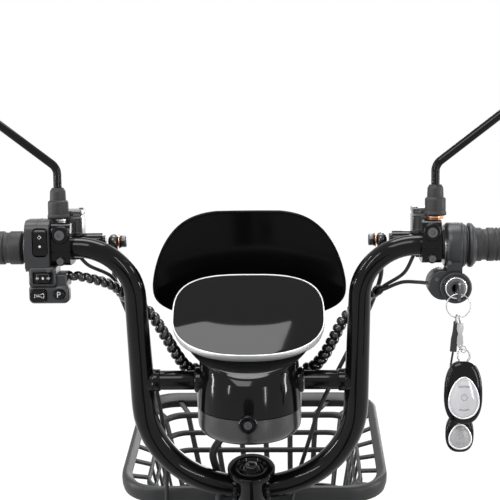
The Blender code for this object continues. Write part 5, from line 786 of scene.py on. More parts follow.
def brake_control(side):
    """Master cylinder with its clamp, bolts, reservoir and banjo, and the lever on its pivot."""
    label = side_name(side)
    low, high = sorted((side * 0.2071, side * 0.1864))
    middle = (low + high) / 2
    outline = eased([(-0.0185, 0.020), (-0.0125, 0.0275), (0.020, 0.0275), (0.026, 0.018), (0.026, -0.004),
                     (0.014, -0.0177), (-0.0145, -0.0177), (-0.0185, -0.013)], 0.006, 6)
    parts = [side_plate(outline, low, high, 0.0034, 5)]
    boss_at = bar(middle, -0.0215, 0.0155)
    parts.append(lathe([(0, 0), (0.0084, 0), (0.0095, 0.0010), (0.0095, 0.02), (0, 0.02)], boss_at, FORE, 48))
    parts.append(lathe([(0, 0), (0.0044, 0), (0.0052, 0.0010), (0.0052, 0.02), (0, 0.02)],
                       bar(middle, -0.0205, -0.0125), FORE, 40))
    parts.append(block(bar(low + 0.0008, -0.0196, -0.0035), bar(high - 0.0008, -0.0150, -0.0022), 0.0004, 2))
    parts.append(rod(bar(middle, 0.034, 0.002), bar(side * 0.1585, 0.034, 0.002), 0.0095, 40, 0.0012))
    parts.append(rod(bar(side * 0.160, 0.034, 0.002), bar(side * 0.1555, 0.034, 0.002), 0.0068, 32, 0.0004))
    tank = sorted((side * 0.1800, side * 0.2068))
    tank_parts = [block(bar(tank[0], 0.022, 0.009), bar(tank[1], 0.048, 0.0310), 0.0026, 4),
                  block(bar(tank[0], 0.022, 0.0314), bar(tank[1], 0.048, 0.0378), 0.0020, 4),
                  block(bar(tank[0] + 0.001, 0.023, 0.0300), bar(tank[1] - 0.001, 0.047, 0.0320), 0, 0)]
    inner = side * 0.1852
    windows = [block(bar(inner - 0.0040, 0.010, 0.0130), bar(inner + 0.0040, 0.0232, 0.0292), 0.0010, 3),
               block(bar(inner - 0.0040, 0.010, 0.0322), bar(inner + 0.0040, 0.0230, 0.0358), 0.0008, 3)]
    seen("brake_tank_" + label, tank_parts, "steering", TANK, cuts=windows)
    pivot = bar(side * 0.1935, 0.053, 0)

    def upright(low, high, radius, segments, soft=0.0005):
        """A round bar on the lever's pivot, from one height to another."""
        return rod(pivot + Vector((0, 0, low)), pivot + Vector((0, 0, high)), radius, segments, soft)

    parts.append(upright(-0.0035, 0.006, 0.0125, 48, 0.0014))
    seen("brake_clamp_" + label, parts, "steering", GLOSS, ("master_cylinder_" + label,),
         cuts=[rod(bar(low - 0.01, 0, 0), bar(high + 0.01, 0, 0), 0.0113, 40, 0)])
    pin = [upright(-0.0185, 0, 0.0034, 28), upright(-0.0197, -0.0165, 0.0064, 6),
           upright(0.0055, 0.0092, 0.0056, 28)]
    seen("lever_pin_" + label, pin, "steering", STEEL)
    screws((bar(middle, -0.0216, 0.0155),), 0.0052, "clamp_bolt_upper_" + label, drive=6)
    screws((bar(middle, -0.0206, -0.0125),), 0.0036, "clamp_bolt_lower_" + label, drive=6)
    lid = [bar(tank[0] + 0.004, 0.026, 0.0379), bar(tank[1] - 0.004, 0.044, 0.0379)]
    screws(lid, 0.0024, "lid_screws_" + label, UP)
    end = bar(side * 0.1525, 0.034, 0.002)

    def fitting(profile, segments=40, **more):
        """A turned piece of the hose's fitting, along the cylinder towards the grip."""
        return lathe(profile, end, -side * ACROSS, segments, **more)

    eye = [fitting([(0, -0.0010), (0.0040, -0.0004), (0.0070, 0.0018), (0.0082, 0.0050), (0.0074, 0.0086),
                    (0.0050, 0.0106), (0, 0.0108)], 48, soft=0.0014)]
    eye.append(rod(end - side * 0.0057 * ACROSS, end - side * 0.0057 * ACROSS + Vector((0, 0.0004, -0.0118)),
                   0.0040, 28))
    seen("banjo_eye_" + label, eye, "steering", SATIN)
    washer = fitting([(0.003, 0.0112), (0.0078, 0.0112), (0.0078, 0.0124), (0.003, 0.0124)], ring=True,
                     soft=0.0003)
    seen("banjo_washers_" + label, [washer], "steering", COPPER)
    collar = fitting([(0, 0.0124), (0.0070, 0.0124), (0.0070, 0.0142), (0, 0.0142)])
    seen("banjo_collar_" + label, [collar], "steering", SHINY)
    hexagon = fitting([(0, 0.0142), (0.0070, 0.0142), (0.0070, 0.0186), (0.0058, 0.0196), (0, 0.0196)], 6,
                      soft=0)
    seen("banjo_bolt_" + label, [hexagon], "steering", DARK_STEEL, bevel=0.0004)
    route = flowing([pivot + Vector((side * x, y, z - 0.01))
                     for x, y, z in ((0, 0, 0), (0.020, 0.012, 0), (0.055, 0.018, 0.001),
                                     (0.10, 0.013, 0.002), (0.15, 0.012, 0.002))], 14)
    section = [(0.0050 * raised(math.cos(a), 0.7), 0.0050 * raised(math.sin(a), 0.8)) for a in turns(24)]
    lever = [sweep(route, 1.0, hint=UP, section=section),
             upright(-0.0162, -0.0038, 0.0085, 40, 0.0010), ball(0.0075, route[-1], ACROSS)]
    seen("lever_blade_" + label, lever, "lever_" + label, SATIN, ("brake_lever_" + label,),
         cuts=[upright(-0.03, 0.01, 0.0037, 28, 0)])


def mirror(side):
    """Mirror stem in its stepped rubber boot, with the head on a ball at its end."""
    label = side_name(side)
    foot, base, collar, elbow = (bar(side * 0.203, 0.010, z) for z in (0.0135, 0.0306, 0.0605, 0.085))
    slope = Vector((side * math.cos(math.radians(37.5)), 0, math.sin(math.radians(37.5))))
    tip = elbow + 0.15 * slope
    stem = [sweep(bend([foot, elbow, tip], [0.014], 12), 0.0046, 32, hint=FORE)]
    stem.append(ball(0.007, tip, FORE))
    stem.append(lathe([(0.0044, 0), (0.0060, 0), (0.0060, 0.0022), (0.0044, 0.0022)], collar, UP, 40, True,
                      0.0004))
    seen("mirror_stem_" + label, stem, "mirror_arm_" + label, GLOSS, ("mirror_arm_" + label,))
    boot = [(0.0047, 0), (0.0112, 0), (0.0119, 0.0012), (0.0118, 0.0034), (0.0112, 0.0044), (0.0112, 0.0056),
            (0.0111, 0.0178), (0.0104, 0.0188), (0.0089, 0.0196), (0.0087, 0.0206), (0.0088, 0.0216),
            (0.0084, 0.0298), (0.0072, 0.0314), (0.0066, 0.0330), (0.0047, 0.0332)]
    seen("mirror_boot_skin_" + label, [lathe(boot, base, UP, 56, True, 0.0006)], "steering", RUBBER,
         ("mirror_boot_" + label,))
    nut = lathe([(0.0048, -0.0034), (0.0088, -0.0034), (0.0088, -0.0004), (0.0048, -0.0004)], base, UP, 6,
                True, 0)
    seen("mirror_nut_" + label, [nut], "steering", STEEL if side < 0 else COPPER, bevel=0.0003)
    centre = tip + Vector((side * 0.006, 0.0, 0.010))
    outline = oval(0.062, 0.042, 72, 3.0)
    rings = []
    for share, depth in ((0.90, -0.0010), (0.965, -0.0030), (0.99, -0.0022), (1.0, 0.0), (1.0, 0.005),
                         (0.975, 0.0095), (0.90, 0.0140), (0.76, 0.0172), (0.55, 0.0196), (0.30, 0.0208),
                         (0.08, 0.0212)):
        rings.append([centre + Vector((u * share, depth - 0.034, v * share)) for u, v in outline])
    head = [skin(rings),
            lathe([(0, -0.018), (0.0095, -0.018), (0.0065, -0.0064), (0, -0.0064)], tip, FORE, 40)]
    seen("mirror_shell_" + label, head, "mirror_head_" + label, PLASTIC, ("mirror_head_" + label,),
         cuts=[ball(0.0074, tip, FORE)])
    glass = []
    for share, depth in ((0.90, 0.0), (0.90, -0.0022), (0.895, -0.0026), (0.6, -0.0034), (0.3, -0.0038),
                         (0.02, -0.0040)):
        glass.append([centre + Vector((u * share, depth - 0.0338, v * share)) for u, v in outline])
    seen("mirror_glass_" + label, [skin(glass)], "mirror_head_" + label, MIRROR)


# Right controls

LOCK = bar(0.2218, 0, -0.0436)
RING_RADIUS = 0.0126


def throttle_housing():
    """Throttle barrel with a thin pale ring on its inner face, a painted highlight on the edge bevel, and the
    ignition lock under it.
    """
    barrel = lathe([(BAR_BORE, 0.2112), (0.0196, 0.2112), (0.0222, 0.2120), (0.0240, 0.2140),
                    (0.0246, 0.2170), (0.0246, 0.2272), (0.0241, 0.2284), (0.0236, 0.2286), (0.0238, 0.2290),
                    (0.0242, 0.2296), (0.0242, 0.2308), (0.0232, 0.2316), (0.0224, 0.2317), (0.0226, 0.2321),
                    (0.0226, 0.2330), (0.0212, 0.2336), (BAR_BORE, 0.2336)], bar(0, 0, -0.0005), ACROSS, 96,
                   True, 0.0006)
    neck = plate(eased([(-0.0190, -0.010), (0.0113, -0.010), (0.0113, -0.046), (-0.0150, -0.046)], 0.004, 5),
                 bar(0.2208, 0, 0), FORE, UP, 0.0160, 0.0020, 4)
    centre = LOCK
    shell = lathe([(0, -0.0205), (0.0132, -0.0205), (0.0138, -0.0215), (0.0160, -0.0215), (0.0170, -0.0200),
                   (0.0170, 0.0110), (0.0155, 0.0125), (0, 0.0125)], centre, FORE, 72)
    ear_at = centre + Vector((-0.0125, 0, 0.0023))
    ear = lathe([(0, -0.0160), (0.0148, -0.0160), (0.0163, -0.0145), (0.0163, 0.0105), (0.0148, 0.0120),
                 (0, 0.0120)], ear_at, FORE, 64)
    keyway = rod(centre + Vector((0, -0.05, 0)), centre + Vector((0, -0.0035, 0)), 0.0046, 28, 0)
    seen("throttle_case", [barrel, neck, shell, ear], "steering", PLASTIC, ("throttle_housing",),
         cuts=[keyway])
    ring = lathe([(0.0100, -0.0200), (0.0115, -0.0200), (0.0118, -0.0222), (0.0112, -0.0232),
                  (0.0100, -0.0232)], centre, FORE, 64, True, 0.0003)
    face = lathe([(0.0047, -0.0195), (0.0101, -0.0195), (0.0098, -0.0258), (0.0047, -0.0262)], centre, FORE,
                 64, True, 0.0005)
    seen("lock_ring", [ring], "steering", BRIGHT)
    seen("lock_barrel", [face], "steering", DARK_STEEL)
    seal = lathe([(0.0112, 0), (0.0150, 0), (0.0158, 0.0008), (0.0158, 0.0030), (0.0112, 0.0030)],
                 bar(0.2079, 0, 0), ACROSS, 64, True, 0.0004)
    seen("throttle_seal", [seal], "steering", RUBBER)
    screws((ear_at + Vector((-0.0072, -0.0161, 0.0062)), bar(0.2150, -0.0190, -0.0170)), 0.0021,
           "throttle_case_screws")
    # Painted highlight: a thin pale steel ring on the barrel's inner face stands for the light caught by its
    # edge bevel.
    pale = lathe([(0.0150, 0.2104), (0.0212, 0.2104), (0.0220, 0.2110), (0.0150, 0.2110)], bar(0, 0, -0.0005),
                 ACROSS, 72, True, 0.0002)
    seen("throttle_painted_highlight_ring", [pale], "steering", STEEL)
    flange = lathe([(0.0150, 0.2356), (0.0218, 0.2356), (0.0236, 0.2368), (0.0240, 0.2386), (0.0236, 0.2404),
                    (0.0226, 0.2412), (0.0214, 0.2420), (0.0200, 0.2436), (0.0184, 0.2440), (0.0150, 0.2440)],
                   bar(0, 0, -0.0005), ACROSS, 96, True, 0.0006)
    seen("throttle_grip_flange", [flange], "throttle", PLASTIC)


def keys():
    """Key, split ring, and two remotes on a strap and a cord."""
    bow_at = LOCK + Vector((0, -0.0405, 0))
    bow = [plate(oval(0.0115, 0.0100, 56, 2.4), bow_at, FORE, UP, 0.0024, 0.0005, 3),
           block(LOCK + Vector((-0.0011, -0.0315, -0.0035)), LOCK + Vector((0.0011, -0.006, 0.0035)), 0.0004,
                 2)]
    hole = rod(bow_at + Vector((-0.01, 0, 0)), bow_at + Vector((0.01, 0, 0)), 0.0050, 40, 0)
    seen("key_blade", bow, "key", DARK_STEEL, ("key",), cuts=[hole])
    hang = bow_at + Vector((0, 0, -0.0033))
    middle = hang - RING_RADIUS * UP
    coil = [middle + (RING_RADIUS - 0.00012 + 0.00004 * k / 96) * Vector((math.sin(a), 0, math.cos(a))) +
            Vector((0, 0.0008 * (k / 96 - 1), 0)) for k, a in [(k, 2 * math.pi * k / 96) for k in range(193)]]
    seen("split_ring", [sweep(coil, 0.00055, 12, hint=FORE)], "key_ring", STEEL, ("key_ring",))
    hung_fob("a", middle, 0.10, 0.0, 0.1175, 0.1850, 0.0200, 0.0330, 0.2275)
    hung_fob("b", middle, -0.16, 0.017, 0.1790, 0.2200, 0.0150, 0.0200, 0.2265)


def hung_fob(letter, middle, lean, ahead, top, low, half_w, half_h, x):
    """A remote with a silver-rimmed lens and pale pads, hanging from a link on the key ring."""
    body = "fob_" + letter
    out = Vector((math.sin(lean), 0, -math.cos(lean)))
    loop_at = middle + RING_RADIUS * out
    reach, inside = (0.0036, 0.0021) if letter == "a" else (0.0044, 0.0030)
    eye = loop_at + (reach - inside) * out
    link = [eye + reach * (math.cos(a) * out + math.sin(a) * FORE) for a in turns(32)]
    start = eye + (reach + 0.0004) * out
    head = Vector((bar(x, 0, 0).x, loop_at.y + ahead, bar(0, 0, -top).z))
    metal_parts = [sweep(link, 0.0008, 10, closed=True, hint=Vector((math.cos(lean), 0, math.sin(lean))))]
    if letter == "a":
        clip = eased([(-0.0030, 0.0009), (0.0030, 0.0009), (0.0036, -0.006), (0.0020, -0.0115),
                      (0.0030, -0.014), (0.0034, -0.022), (0.0014, -0.0262), (-0.0014, -0.0262),
                      (-0.0034, -0.022), (-0.0030, -0.014), (-0.0020, -0.0115), (-0.0036, -0.006)], 0.0012, 4)
        metal_parts.append(rider_plate(clip, start, 0.0032, 0.0007, 3))
        foot = head + Vector((0, -0.001, -0.0015))
        coil = 0.0068
        coil_at = foot + Vector((0, 0, coil))
        for tip in (-0.35, 0.35):
            wide = math.cos(tip) * ACROSS + math.sin(tip) * FORE
            round_ring = [coil_at + coil * (math.cos(t) * wide + math.sin(t) * UP) for t in turns(40)]
            metal_parts.append(sweep(round_ring, 0.0008, 10, closed=True, hint=FORE))
        clip_foot = start - Vector((0, 0, 0.0262))
        gap = coil_at + Vector((0, 0, coil)) - clip_foot
        links = max(1, round(gap.length / 0.0042))
        for k in range(links + 1):
            spot = clip_foot + gap * (k / links)
            wide = ACROSS if k % 2 else FORE
            small = [spot + 0.0026 * math.cos(t) * wide + 0.0034 * math.sin(t) * UP for t in turns(24)]
            metal_parts.append(sweep(small, 0.0006, 8, closed=True, hint=FORE if k % 2 else ACROSS))
    else:
        strap = [start + Vector((0, 0, 0.0025)), start + Vector((0, 0.0006, -0.008)),
                 start + Vector((-0.001, 0.0012, -0.018)), start + Vector((-0.002, 0.0010, -0.030))]
        section = [(0.0035 * u, 0.0011 * v) for u, v in rounded_rectangle(1.0, 1.0, 0.6, 5)]
        route = flowing(strap, 8)
        sizes = [0.55 + 0.45 * min(1, k / (0.6 * len(route))) for k in range(len(route))]
        seen("remote_strap_b", [sweep(route, sizes, hint=ACROSS, section=section)], body, RUBBER)
        tail = [start + Vector((-0.002, 0.001, -0.029)), start + Vector((-0.0035, 0.011, -0.055)),
                head + Vector((-0.0065, 0, 0.024)), head + Vector((-0.001, 0, 0.001))]
        seen("remote_cord_b", [sweep(flowing(tail, 12), 0.0011, 12)], body, RUBBER)
    seen("remote_link_" + letter, metal_parts, body, STEEL)
    centre = Vector((head.x, head.y, bar(0, 0, -(top + low) / 2).z))
    outline = [(u * (1 - 0.04 * v / half_h), v) for u, v in oval(half_w, half_h + 0.001, 72, 2.5)]
    rings = []
    for depth, share in ((-0.0062, 0.70), (-0.0058, 0.84), (-0.0046, 0.94), (-0.0028, 0.99), (0.0, 1.0),
                         (0.0028, 0.99), (0.0046, 0.94), (0.0058, 0.84), (0.0062, 0.70)):
        rings.append([centre + Vector((u * share, depth, v * share)) for u, v in outline])
    seen("remote_shell_" + letter, [skin(rings)], body, SHINY, ("remote_fob_" + letter,))
    egg = [(u * (0.76 - 0.16 * v), v * 0.66 - half_h * 0.14) for u, v in
           [(half_w * math.cos(t), math.sin(t)) for t in turns(64)]]
    egg = [(u, (v + half_h * 0.14) * half_h - half_h * 0.14) for u, v in egg]
    rim = [centre + Vector((u, -0.0064, v)) for u, v in egg]
    seen("remote_rim_" + letter, [sweep(rim, 0.0009, 12, closed=True, hint=FORE)], body, SILVER)
    lens = []
    low = Vector((0, 0, -half_h * 0.14))
    for share, depth in ((0.98, -0.0052), (0.94, -0.0064), (0.74, -0.0076), (0.44, -0.0084), (0.08, -0.0088)):
        lens.append([centre + low + Vector((u * share, depth, (v + half_h * 0.14) * share)) for u, v in egg])
    seen("remote_lens_" + letter, [skin(lens)], body, FOB_LENS if letter == "a" else FOB_PAD)
    ring_at = centre + low + Vector((0, -0.0087, 0.001))
    size = half_w * 0.16
    dial = [ring_at + Vector((size * math.cos(t), 0, size * math.sin(t))) for t in turns(28)]
    pads = [sweep(dial, 0.0004, 8, closed=True, hint=FORE)]
    for height, wide in ((0.34, 0.34), (-0.40, 0.30)):
        spot = ring_at + Vector((0, 0.0010 + 0.0005 * abs(height), half_h * height))
        pads.append(rider_plate(oval(half_w * wide, half_h * 0.035, 28), spot, 0.0012, 0.0003, 2))
    seen("remote_pads_" + letter, pads, body, FOB_PAD)


# Lamp pod and dash

DASH_TILT = math.radians(54)
DASH_FACE = Vector((0, -math.sin(DASH_TILT), math.cos(DASH_TILT)))
DASH_ALONG = Vector((0, math.cos(DASH_TILT), math.sin(DASH_TILT)))
DASH = bar(0, 0.0425, -0.0855)
DASH_HALF_WIDTH = 0.0855
POD_AHEAD = 0.055
POD_FLOOR = 0.222
POD_RADIUS = 0.0595
LAMP_RADIUS = 0.052
LAMP_MIDDLE = bar(0, POD_AHEAD + 0.015, -0.172)


def lofted(rings, steps=5):
    """Smooth skin through a few rings of equal count."""
    columns = [flowing(column, steps) for column in zip(*rings)]
    return [list(ring) for ring in zip(*columns)]


def tipped_ring(near_y, near_z, half_x, half_y, tilt, power):
    """A pod section: an oval hinged at its edge nearest the rider, tipped up towards the dash."""
    along = Vector((0, math.cos(tilt), math.sin(tilt)))
    centre = bar(0, near_y, near_z) + half_y * along
    return [centre + u * ACROSS + v * along for u, v in oval(half_x, half_y, 96, power, math.pi / 2)]


def cup_ring(drop, share):
    """A round section of the pod's cup at a drop below the grips, tipped by four degrees."""
    size = share * POD_RADIUS
    tilt = math.radians(4)
    return tipped_ring(POD_AHEAD - size, -drop - size * math.sin(tilt), size, size, tilt, 2)


def dash_ring(back, inset):
    """The dash's outline at a distance behind its face, squarer at its top than at its foot."""
    upper = oval(DASH_HALF_WIDTH - inset, 0.055 - inset, 96, 3.1, math.pi / 2)
    lower = oval(DASH_HALF_WIDTH - inset, 0.0470 - inset, 96, 2.4, math.pi / 2)
    outline = [a if a[1] > 0 else b for a, b in zip(upper, lower)]
    return [DASH - back * DASH_FACE + u * ACROSS + v * DASH_ALONG for u, v in outline]


def lamp_pod():
    """Round cup with a lower band, a waist, a flare up to the dash, and the lamp barrel ahead."""
    cup = [cup_ring(*p)
           for p in ((0.1865, 1.0), (0.176, 1.0), (0.166, 0.995), (0.157, 0.985), (0.1505, 0.965))]
    cup.append(tipped_ring(0.0020, -0.1472, 0.0565, 0.0560, math.radians(12), 2.05))
    cup.append(tipped_ring(0.0072, -0.1440, 0.0610, 0.0545, math.radians(27), 2.25))
    cup.append(tipped_ring(0.0150, -0.1395, 0.0700, 0.0510, math.radians(42), 2.45))
    cup += [dash_ring(0.0200, 0.0060), dash_ring(0.0182, 0.0030)]
    barrel = lathe([(0, 0), (LAMP_RADIUS - 0.012, 0), (LAMP_RADIUS, 0.02), (LAMP_RADIUS, 0.058),
                    (LAMP_RADIUS - 0.002, 0.062), (LAMP_RADIUS - 0.006, 0.062), (LAMP_RADIUS - 0.008, 0.050),
                    (0, 0.048)], LAMP_MIDDLE, FORE, 96, soft=0.0012)
    bosses = []
    for side in (-1, 1):
        bosses.append(lathe([(0, 0), (0.0145, 0), (0.0145, 0.0105), (0.0130, 0.0122), (0, 0.0122)],
                            bar(side * 0.0495, POD_AHEAD - 0.0035, -0.1585), side * ACROSS, 56))
    seen("pod_shell", [skin(lofted(cup, 5)), barrel, *bosses], "steering", SHINY, ("lamp_housing",), angle=40)
    band_rings = ((0, 0.30), (0.0015, 0.62), (0.005, 0.86), (0.012, 0.965), (0.020, 0.985), (0.0342, 0.985))
    band = [cup_ring(POD_FLOOR - rise, share) for rise, share in band_rings]
    seen("pod_lower_band", [skin(lofted(band, 4))], "steering", SATIN, angle=40)
    boss_at = bar(0, POD_AHEAD - POD_RADIUS - 0.0035, -0.1955)
    boss = lathe([(0, 0.0012), (0.0050, 0.0012), (0.0056, 0.0), (0.0092, 0), (0.0105, 0.0014), (0.0105, 0.02),
                  (0, 0.02)], boss_at, FORE, 56)
    seen("pod_boss", [boss], "steering", SHINY)
    screws((boss_at + Vector((0, 0.0006, 0)),), 0.0046, "pod_screw", drive=6)
    lens = [(0, 0.0484), (LAMP_RADIUS - 0.0084, 0.0504), (LAMP_RADIUS - 0.0070, 0.058)]
    lens += [((LAMP_RADIUS - 0.0070) * math.cos(a), 0.058 + 0.0075 * math.sin(a))
             for a in degrees(8, 86, 8)]
    lens.append((0, 0.0655))
    seen("headlamp_glass", [lathe(lens, LAMP_MIDDLE, FORE, 96, soft=0)], "steering", LAMP_GLASS,
         ("headlamp_lens",))
    for side in (-1, 1):
        spot, out = visor_mount(side)
        pegs = [rod(spot - 0.04 * out, spot - 0.0012 * out, 0.006, 28),
                rod(spot - 0.02 * out, spot, 0.0034, 20)]
        pegs.append(rod(spot + 0.0031 * out, spot + 0.0055 * out, 0.0062, 28))
        seen("visor_peg_" + side_name(side), pegs, "steering", SATIN)


def dash():
    """The oval dash: a deep bright band round a black glass screen."""
    band = [dash_ring(*p) for p in ((0.0188, 0.0040), (0.0184, 0.0010), (0.0090, 0.0), (0.0006, 0.0001),
                                    (0.0001, 0.0005), (0.0001, 0.0013), (0.0008, 0.0017), (0.0188, 0.0018))]
    seen("dash_band", [skin(band, closed=True)], "steering", SILVER, ("dash_bezel",), angle=50)
    screen = [dash_ring(0.0126, 0.0019), dash_ring(0.00035, 0.0019), dash_ring(0.0003, 0.0021)]
    for k in range(1, 15):
        share = k / 14
        screen.append(dash_ring(0.0003 - 0.0030 * (1 - (1 - share) ** 2), 0.0021 + 0.0430 * share))
    seen("dash_glass", [skin(screen)], "steering", SCREEN, ("dash_screen",), angle=50)


# Visor

VISOR_HALF_WIDTH = 0.1094
VISOR_TOP = 0.0295
VISOR_HEIGHT = 0.1215
VISOR_THICKNESS = 0.003
VISOR_PEG_ACROSS = 0.427


def visor_half(share):
    """Half width of the visor at a share of its height down from the top."""
    top = (1 - (1 - min(share / 0.71, 1)) ** 1.5) ** 0.256
    low = 1 - 0.30 * max(0, (share - 0.71) / 0.29) ** 3
    return VISOR_HALF_WIDTH * top * low


def visor_point(across, share, back=0.0):
    """A point of the visor: across from -1 to 1, share of the height down, and back towards the rider."""
    x = across * visor_half(share)
    y = 0.122 - 0.040 * (1 - share) ** 1.4 - 0.030 * (x / 0.111) ** 2 - back
    return bar(x, y, VISOR_TOP - share * VISOR_HEIGHT)


def visor_mount(side):
    spot = visor_point(side * VISOR_PEG_ACROSS, 0.85)
    sideways = visor_point(side * VISOR_PEG_ACROSS + 0.01, 0.85) - spot
    down = visor_point(side * VISOR_PEG_ACROSS, 0.86) - spot
    out = down.cross(sideways).normalized()
    return spot, out if out.y > 0 else -out


def visor():
    """A windscreen sheet, domed across and leaning back at its top, with a rolled edge."""
    columns = 64
    rows = 56
    grid = []
    for i in range(rows + 1):
        share = 0.006 + 0.994 * (i / rows) ** 1.9
        grid.append([(math.sin(math.pi / 2 * (j / columns * 2 - 1)), share) for j in range(columns + 1)])
    front = [visor_point(a, s, -VISOR_THICKNESS) for row in grid for a, s in row]
    rear = [visor_point(a, s) for row in grid for a, s in row]
    wide = columns + 1
    count = len(front)
    faces = []
    for i in range(rows):
        for j in range(columns):
            a = i * wide + j
            faces.append((a, a + 1, a + wide + 1, a + wide))
            faces.append((count + a, count + a + wide, count + a + wide + 1, count + a + 1))
    edge = list(range(columns)) + [i * wide + columns for i in range(rows)]
    edge += [rows * wide + j for j in range(columns, 0, -1)] + [i * wide for i in range(rows, 0, -1)]
    for k, a in enumerate(edge):
        b = edge[(k + 1) % len(edge)]
        faces.append((a, b, count + b, count + a))
    rim = [(front[a] + rear[a]) / 2 for a in edge]
    seen("visor_sheet", [(front + rear, faces)], "steering", VISOR, ("visor",), angle=60)
    seen("visor_edge", [sweep(rim, 0.0019, 10, closed=True, hint=FORE)], "steering", VISOR, angle=60)


# Looms and hoses

LEAD_RADIUS = 0.002
HOSE_RADIUS = 0.0025
LOOM_RADIUS = 0.0045


def along_bar(places):
    """Points given level from the middle of the grips."""
    return [bar(*place) for place in places]


def wrap(name, places, pitch, radius):
    """Spiral wrap: a flat strip wound round a route, and the core inside, which is the result."""
    route = evenly(flowing(along_bar(places), 14), 0.0008)
    total = sum((b - a).length for a, b in zip(route, route[1:]))
    coils = total / pitch
    sides = frames(route, False, UP)
    count = len(route)
    steps = max(24, int(coils * 26))
    rings = []
    for k in range(steps + 1):
        share = k / steps
        spot = share * (count - 1)
        i = min(int(spot), count - 2)
        point = route[i].lerp(route[i + 1], spot - i)
        side, upright = sides[i]
        along = (route[i + 1] - route[i]).normalized()
        angle = 2 * math.pi * coils * share
        out = math.cos(angle) * side + math.sin(angle) * upright
        ring = []
        reach = radius[0] + (radius[1] - radius[0]) * share
        for u, v in ((-0.47, -0.0014), (-0.42, 0.0001), (-0.28, 0.0012), (0.0, 0.0018), (0.28, 0.0012),
                     (0.42, 0.0001), (0.47, -0.0014)):
            ring.append(point + u * pitch * along + (reach + v) * out)
        rings.append(ring)
    seen(name + "_strip", [skin(rings)], "steering", WRAP, angle=70)
    return sweep(evenly(route, 0.004), radius[0] - 0.0006, 14)


def hose(points, radius, sides=14):
    return sweep(evenly(flowing(points, 14), 0.003), radius, sides)


def lead(*places):
    """A thin lead of a loom."""
    return hose(along_bar(places), LEAD_RADIUS)


def looms():
    """Wrapped looms at both sides of the pod, thin leads, hoses and the bead clip."""
    core = wrap("left_wrap",
                ((-0.1902, -0.004, -0.0305), (-0.186, -0.004, -0.0305), (-0.180, -0.0025, -0.0312),
                 (-0.160, 0.010, -0.0384), (-0.1455, 0.025, -0.0474), (-0.1345, 0.042, -0.063),
                 (-0.111, 0.050, -0.081), (-0.095, 0.056, -0.1075), (-0.0835, 0.064, -0.130),
                 (-0.0725, 0.073, -0.148), (-0.0605, 0.0755, -0.1525)), 0.0094, (0.0036, 0.0060))
    only = lead((-0.1861, 0.008, -0.0125), (-0.183, 0.008, -0.0125), (-0.180, 0.008, -0.0125),
                (-0.171, 0.012, -0.0220), (-0.151, 0.028, -0.0351), (-0.1405, 0.043, -0.0540),
                (-0.131, 0.0465, -0.0680))
    seen("left_loom_core", [core, only], "steering", RUBBER, ("left_loom",), angle=60)
    core = wrap("right_wrap", ((0.1440, 0.041, -0.0555), (0.130, 0.047, -0.066), (0.108, 0.052, -0.0885),
                               (0.096, 0.058, -0.112), (0.0845, 0.065, -0.134), (0.0725, 0.073, -0.149),
                               (0.0605, 0.0755, -0.1525)), 0.0094, (0.0042, 0.0060))
    upper = lead((0.1861, 0.008, -0.0125), (0.183, 0.008, -0.0125), (0.180, 0.008, -0.0125),
                 (0.171, 0.020, -0.0330), (0.1526, 0.035, -0.0482), (0.140, 0.0435, -0.0585))
    lower = lead((0.1925, 0.002, -0.0416), (0.185, 0.005, -0.0412), (0.169, 0.021, -0.0435),
                 (0.1515, 0.0355, -0.0530), (0.139, 0.0440, -0.0600))
    seen("right_loom_core", [core, upper, lower], "steering", RUBBER, ("right_loom",), angle=60)
    clip = lathe([(0, -0.0055), (0.0042, -0.0055), (0.0054, -0.0030), (0.0058, 0), (0.0054, 0.0030),
                  (0.0042, 0.0055), (0, 0.0055)], bar(0.1440, 0.041, -0.0555), Vector((0.7, -0.3, 0.55)), 40)
    seen("right_bead_clip", [clip], "steering", SHINY)
    port = steer(0, 0, HEAD_LOW + 0.055)
    away = (Vector((0, BOTTOM_BRACKET.y + 0.20, 0.345)) - port).normalized()
    port = port + 0.06 * away
    tube_side = 0.0293

    def into_port(side):
        """The last points of a run into the down tube: beside it, then straight in."""
        steps = [port + Vector((side * (tube_side + far), 0, 0)) for far in (0.012, 0.005, 0)]
        return [port + Vector((side * 0.048, 0.010, 0.024))] + steps

    main = along_bar(((-0.034, 0.072, -POD_FLOOR - 0.0003), (-0.034, 0.073, -0.232), (-0.045, 0.092, -0.257),
                      (-0.0404, 0.118, -0.294), (-0.041, 0.124, -0.330),
                      (-0.043, 0.122, -0.385))) + into_port(-1)
    rear = along_bar(((0.147, 0.034, -0.0070), (0.147, 0.035, -0.020), (0.147, 0.050, -0.045),
                      (0.132, 0.066, -0.090), (0.100, 0.072, -0.155), (0.080, 0.082, -0.200),
                      (0.066, 0.102, -0.250), (0.0536, 0.122, -0.297), (0.047, 0.128, -0.330),
                      (0.046, 0.122, -0.385))) + into_port(1)
    caliper_angle = math.radians(162.5)
    outward = Vector((0, math.cos(caliper_angle), math.sin(caliper_angle)))
    around = Vector((0, -outward.z, outward.y))
    top = FRONT_AXLE + 0.088 * outward - 0.0273 * around
    top.x = -0.0615
    front = along_bar(((-0.147, 0.034, -0.0070), (-0.147, 0.035, -0.020), (-0.149, 0.052, -0.045),
                       (-0.136, 0.068, -0.090), (-0.113, 0.082, -0.160), (-0.103, 0.104, -0.240),
                       (-0.104, 0.126, -0.322), (-0.112, 0.148, -0.385)))
    front += [steer(-0.1145, 0.03, 0.39), steer(-0.1145, 0.028, 0.30), steer(-0.1135, 0.022, 0.19),
              steer(-0.108, 0.000, 0.135), steer(-0.085, -0.024, 0.112), top - 0.016 * around,
              top - 0.006 * around, top]
    for name, points, radius, node, low, start, end in (
            ("main_loom_skin", main, LOOM_RADIUS, "main_loom", "frame", 4, -1),
            ("rear_hose_skin", rear, HOSE_RADIUS, "rear_brake_hose", "frame", 4, -1),
            ("front_hose_skin", front, HOSE_RADIUS, "front_brake_hose", "fork_legs", 6, 10)):
        seen(name, [hose(points, radius, 16)], ("steering", low, points[start], points[end]), RUBBER, (node,),
             angle=60)


# Basket

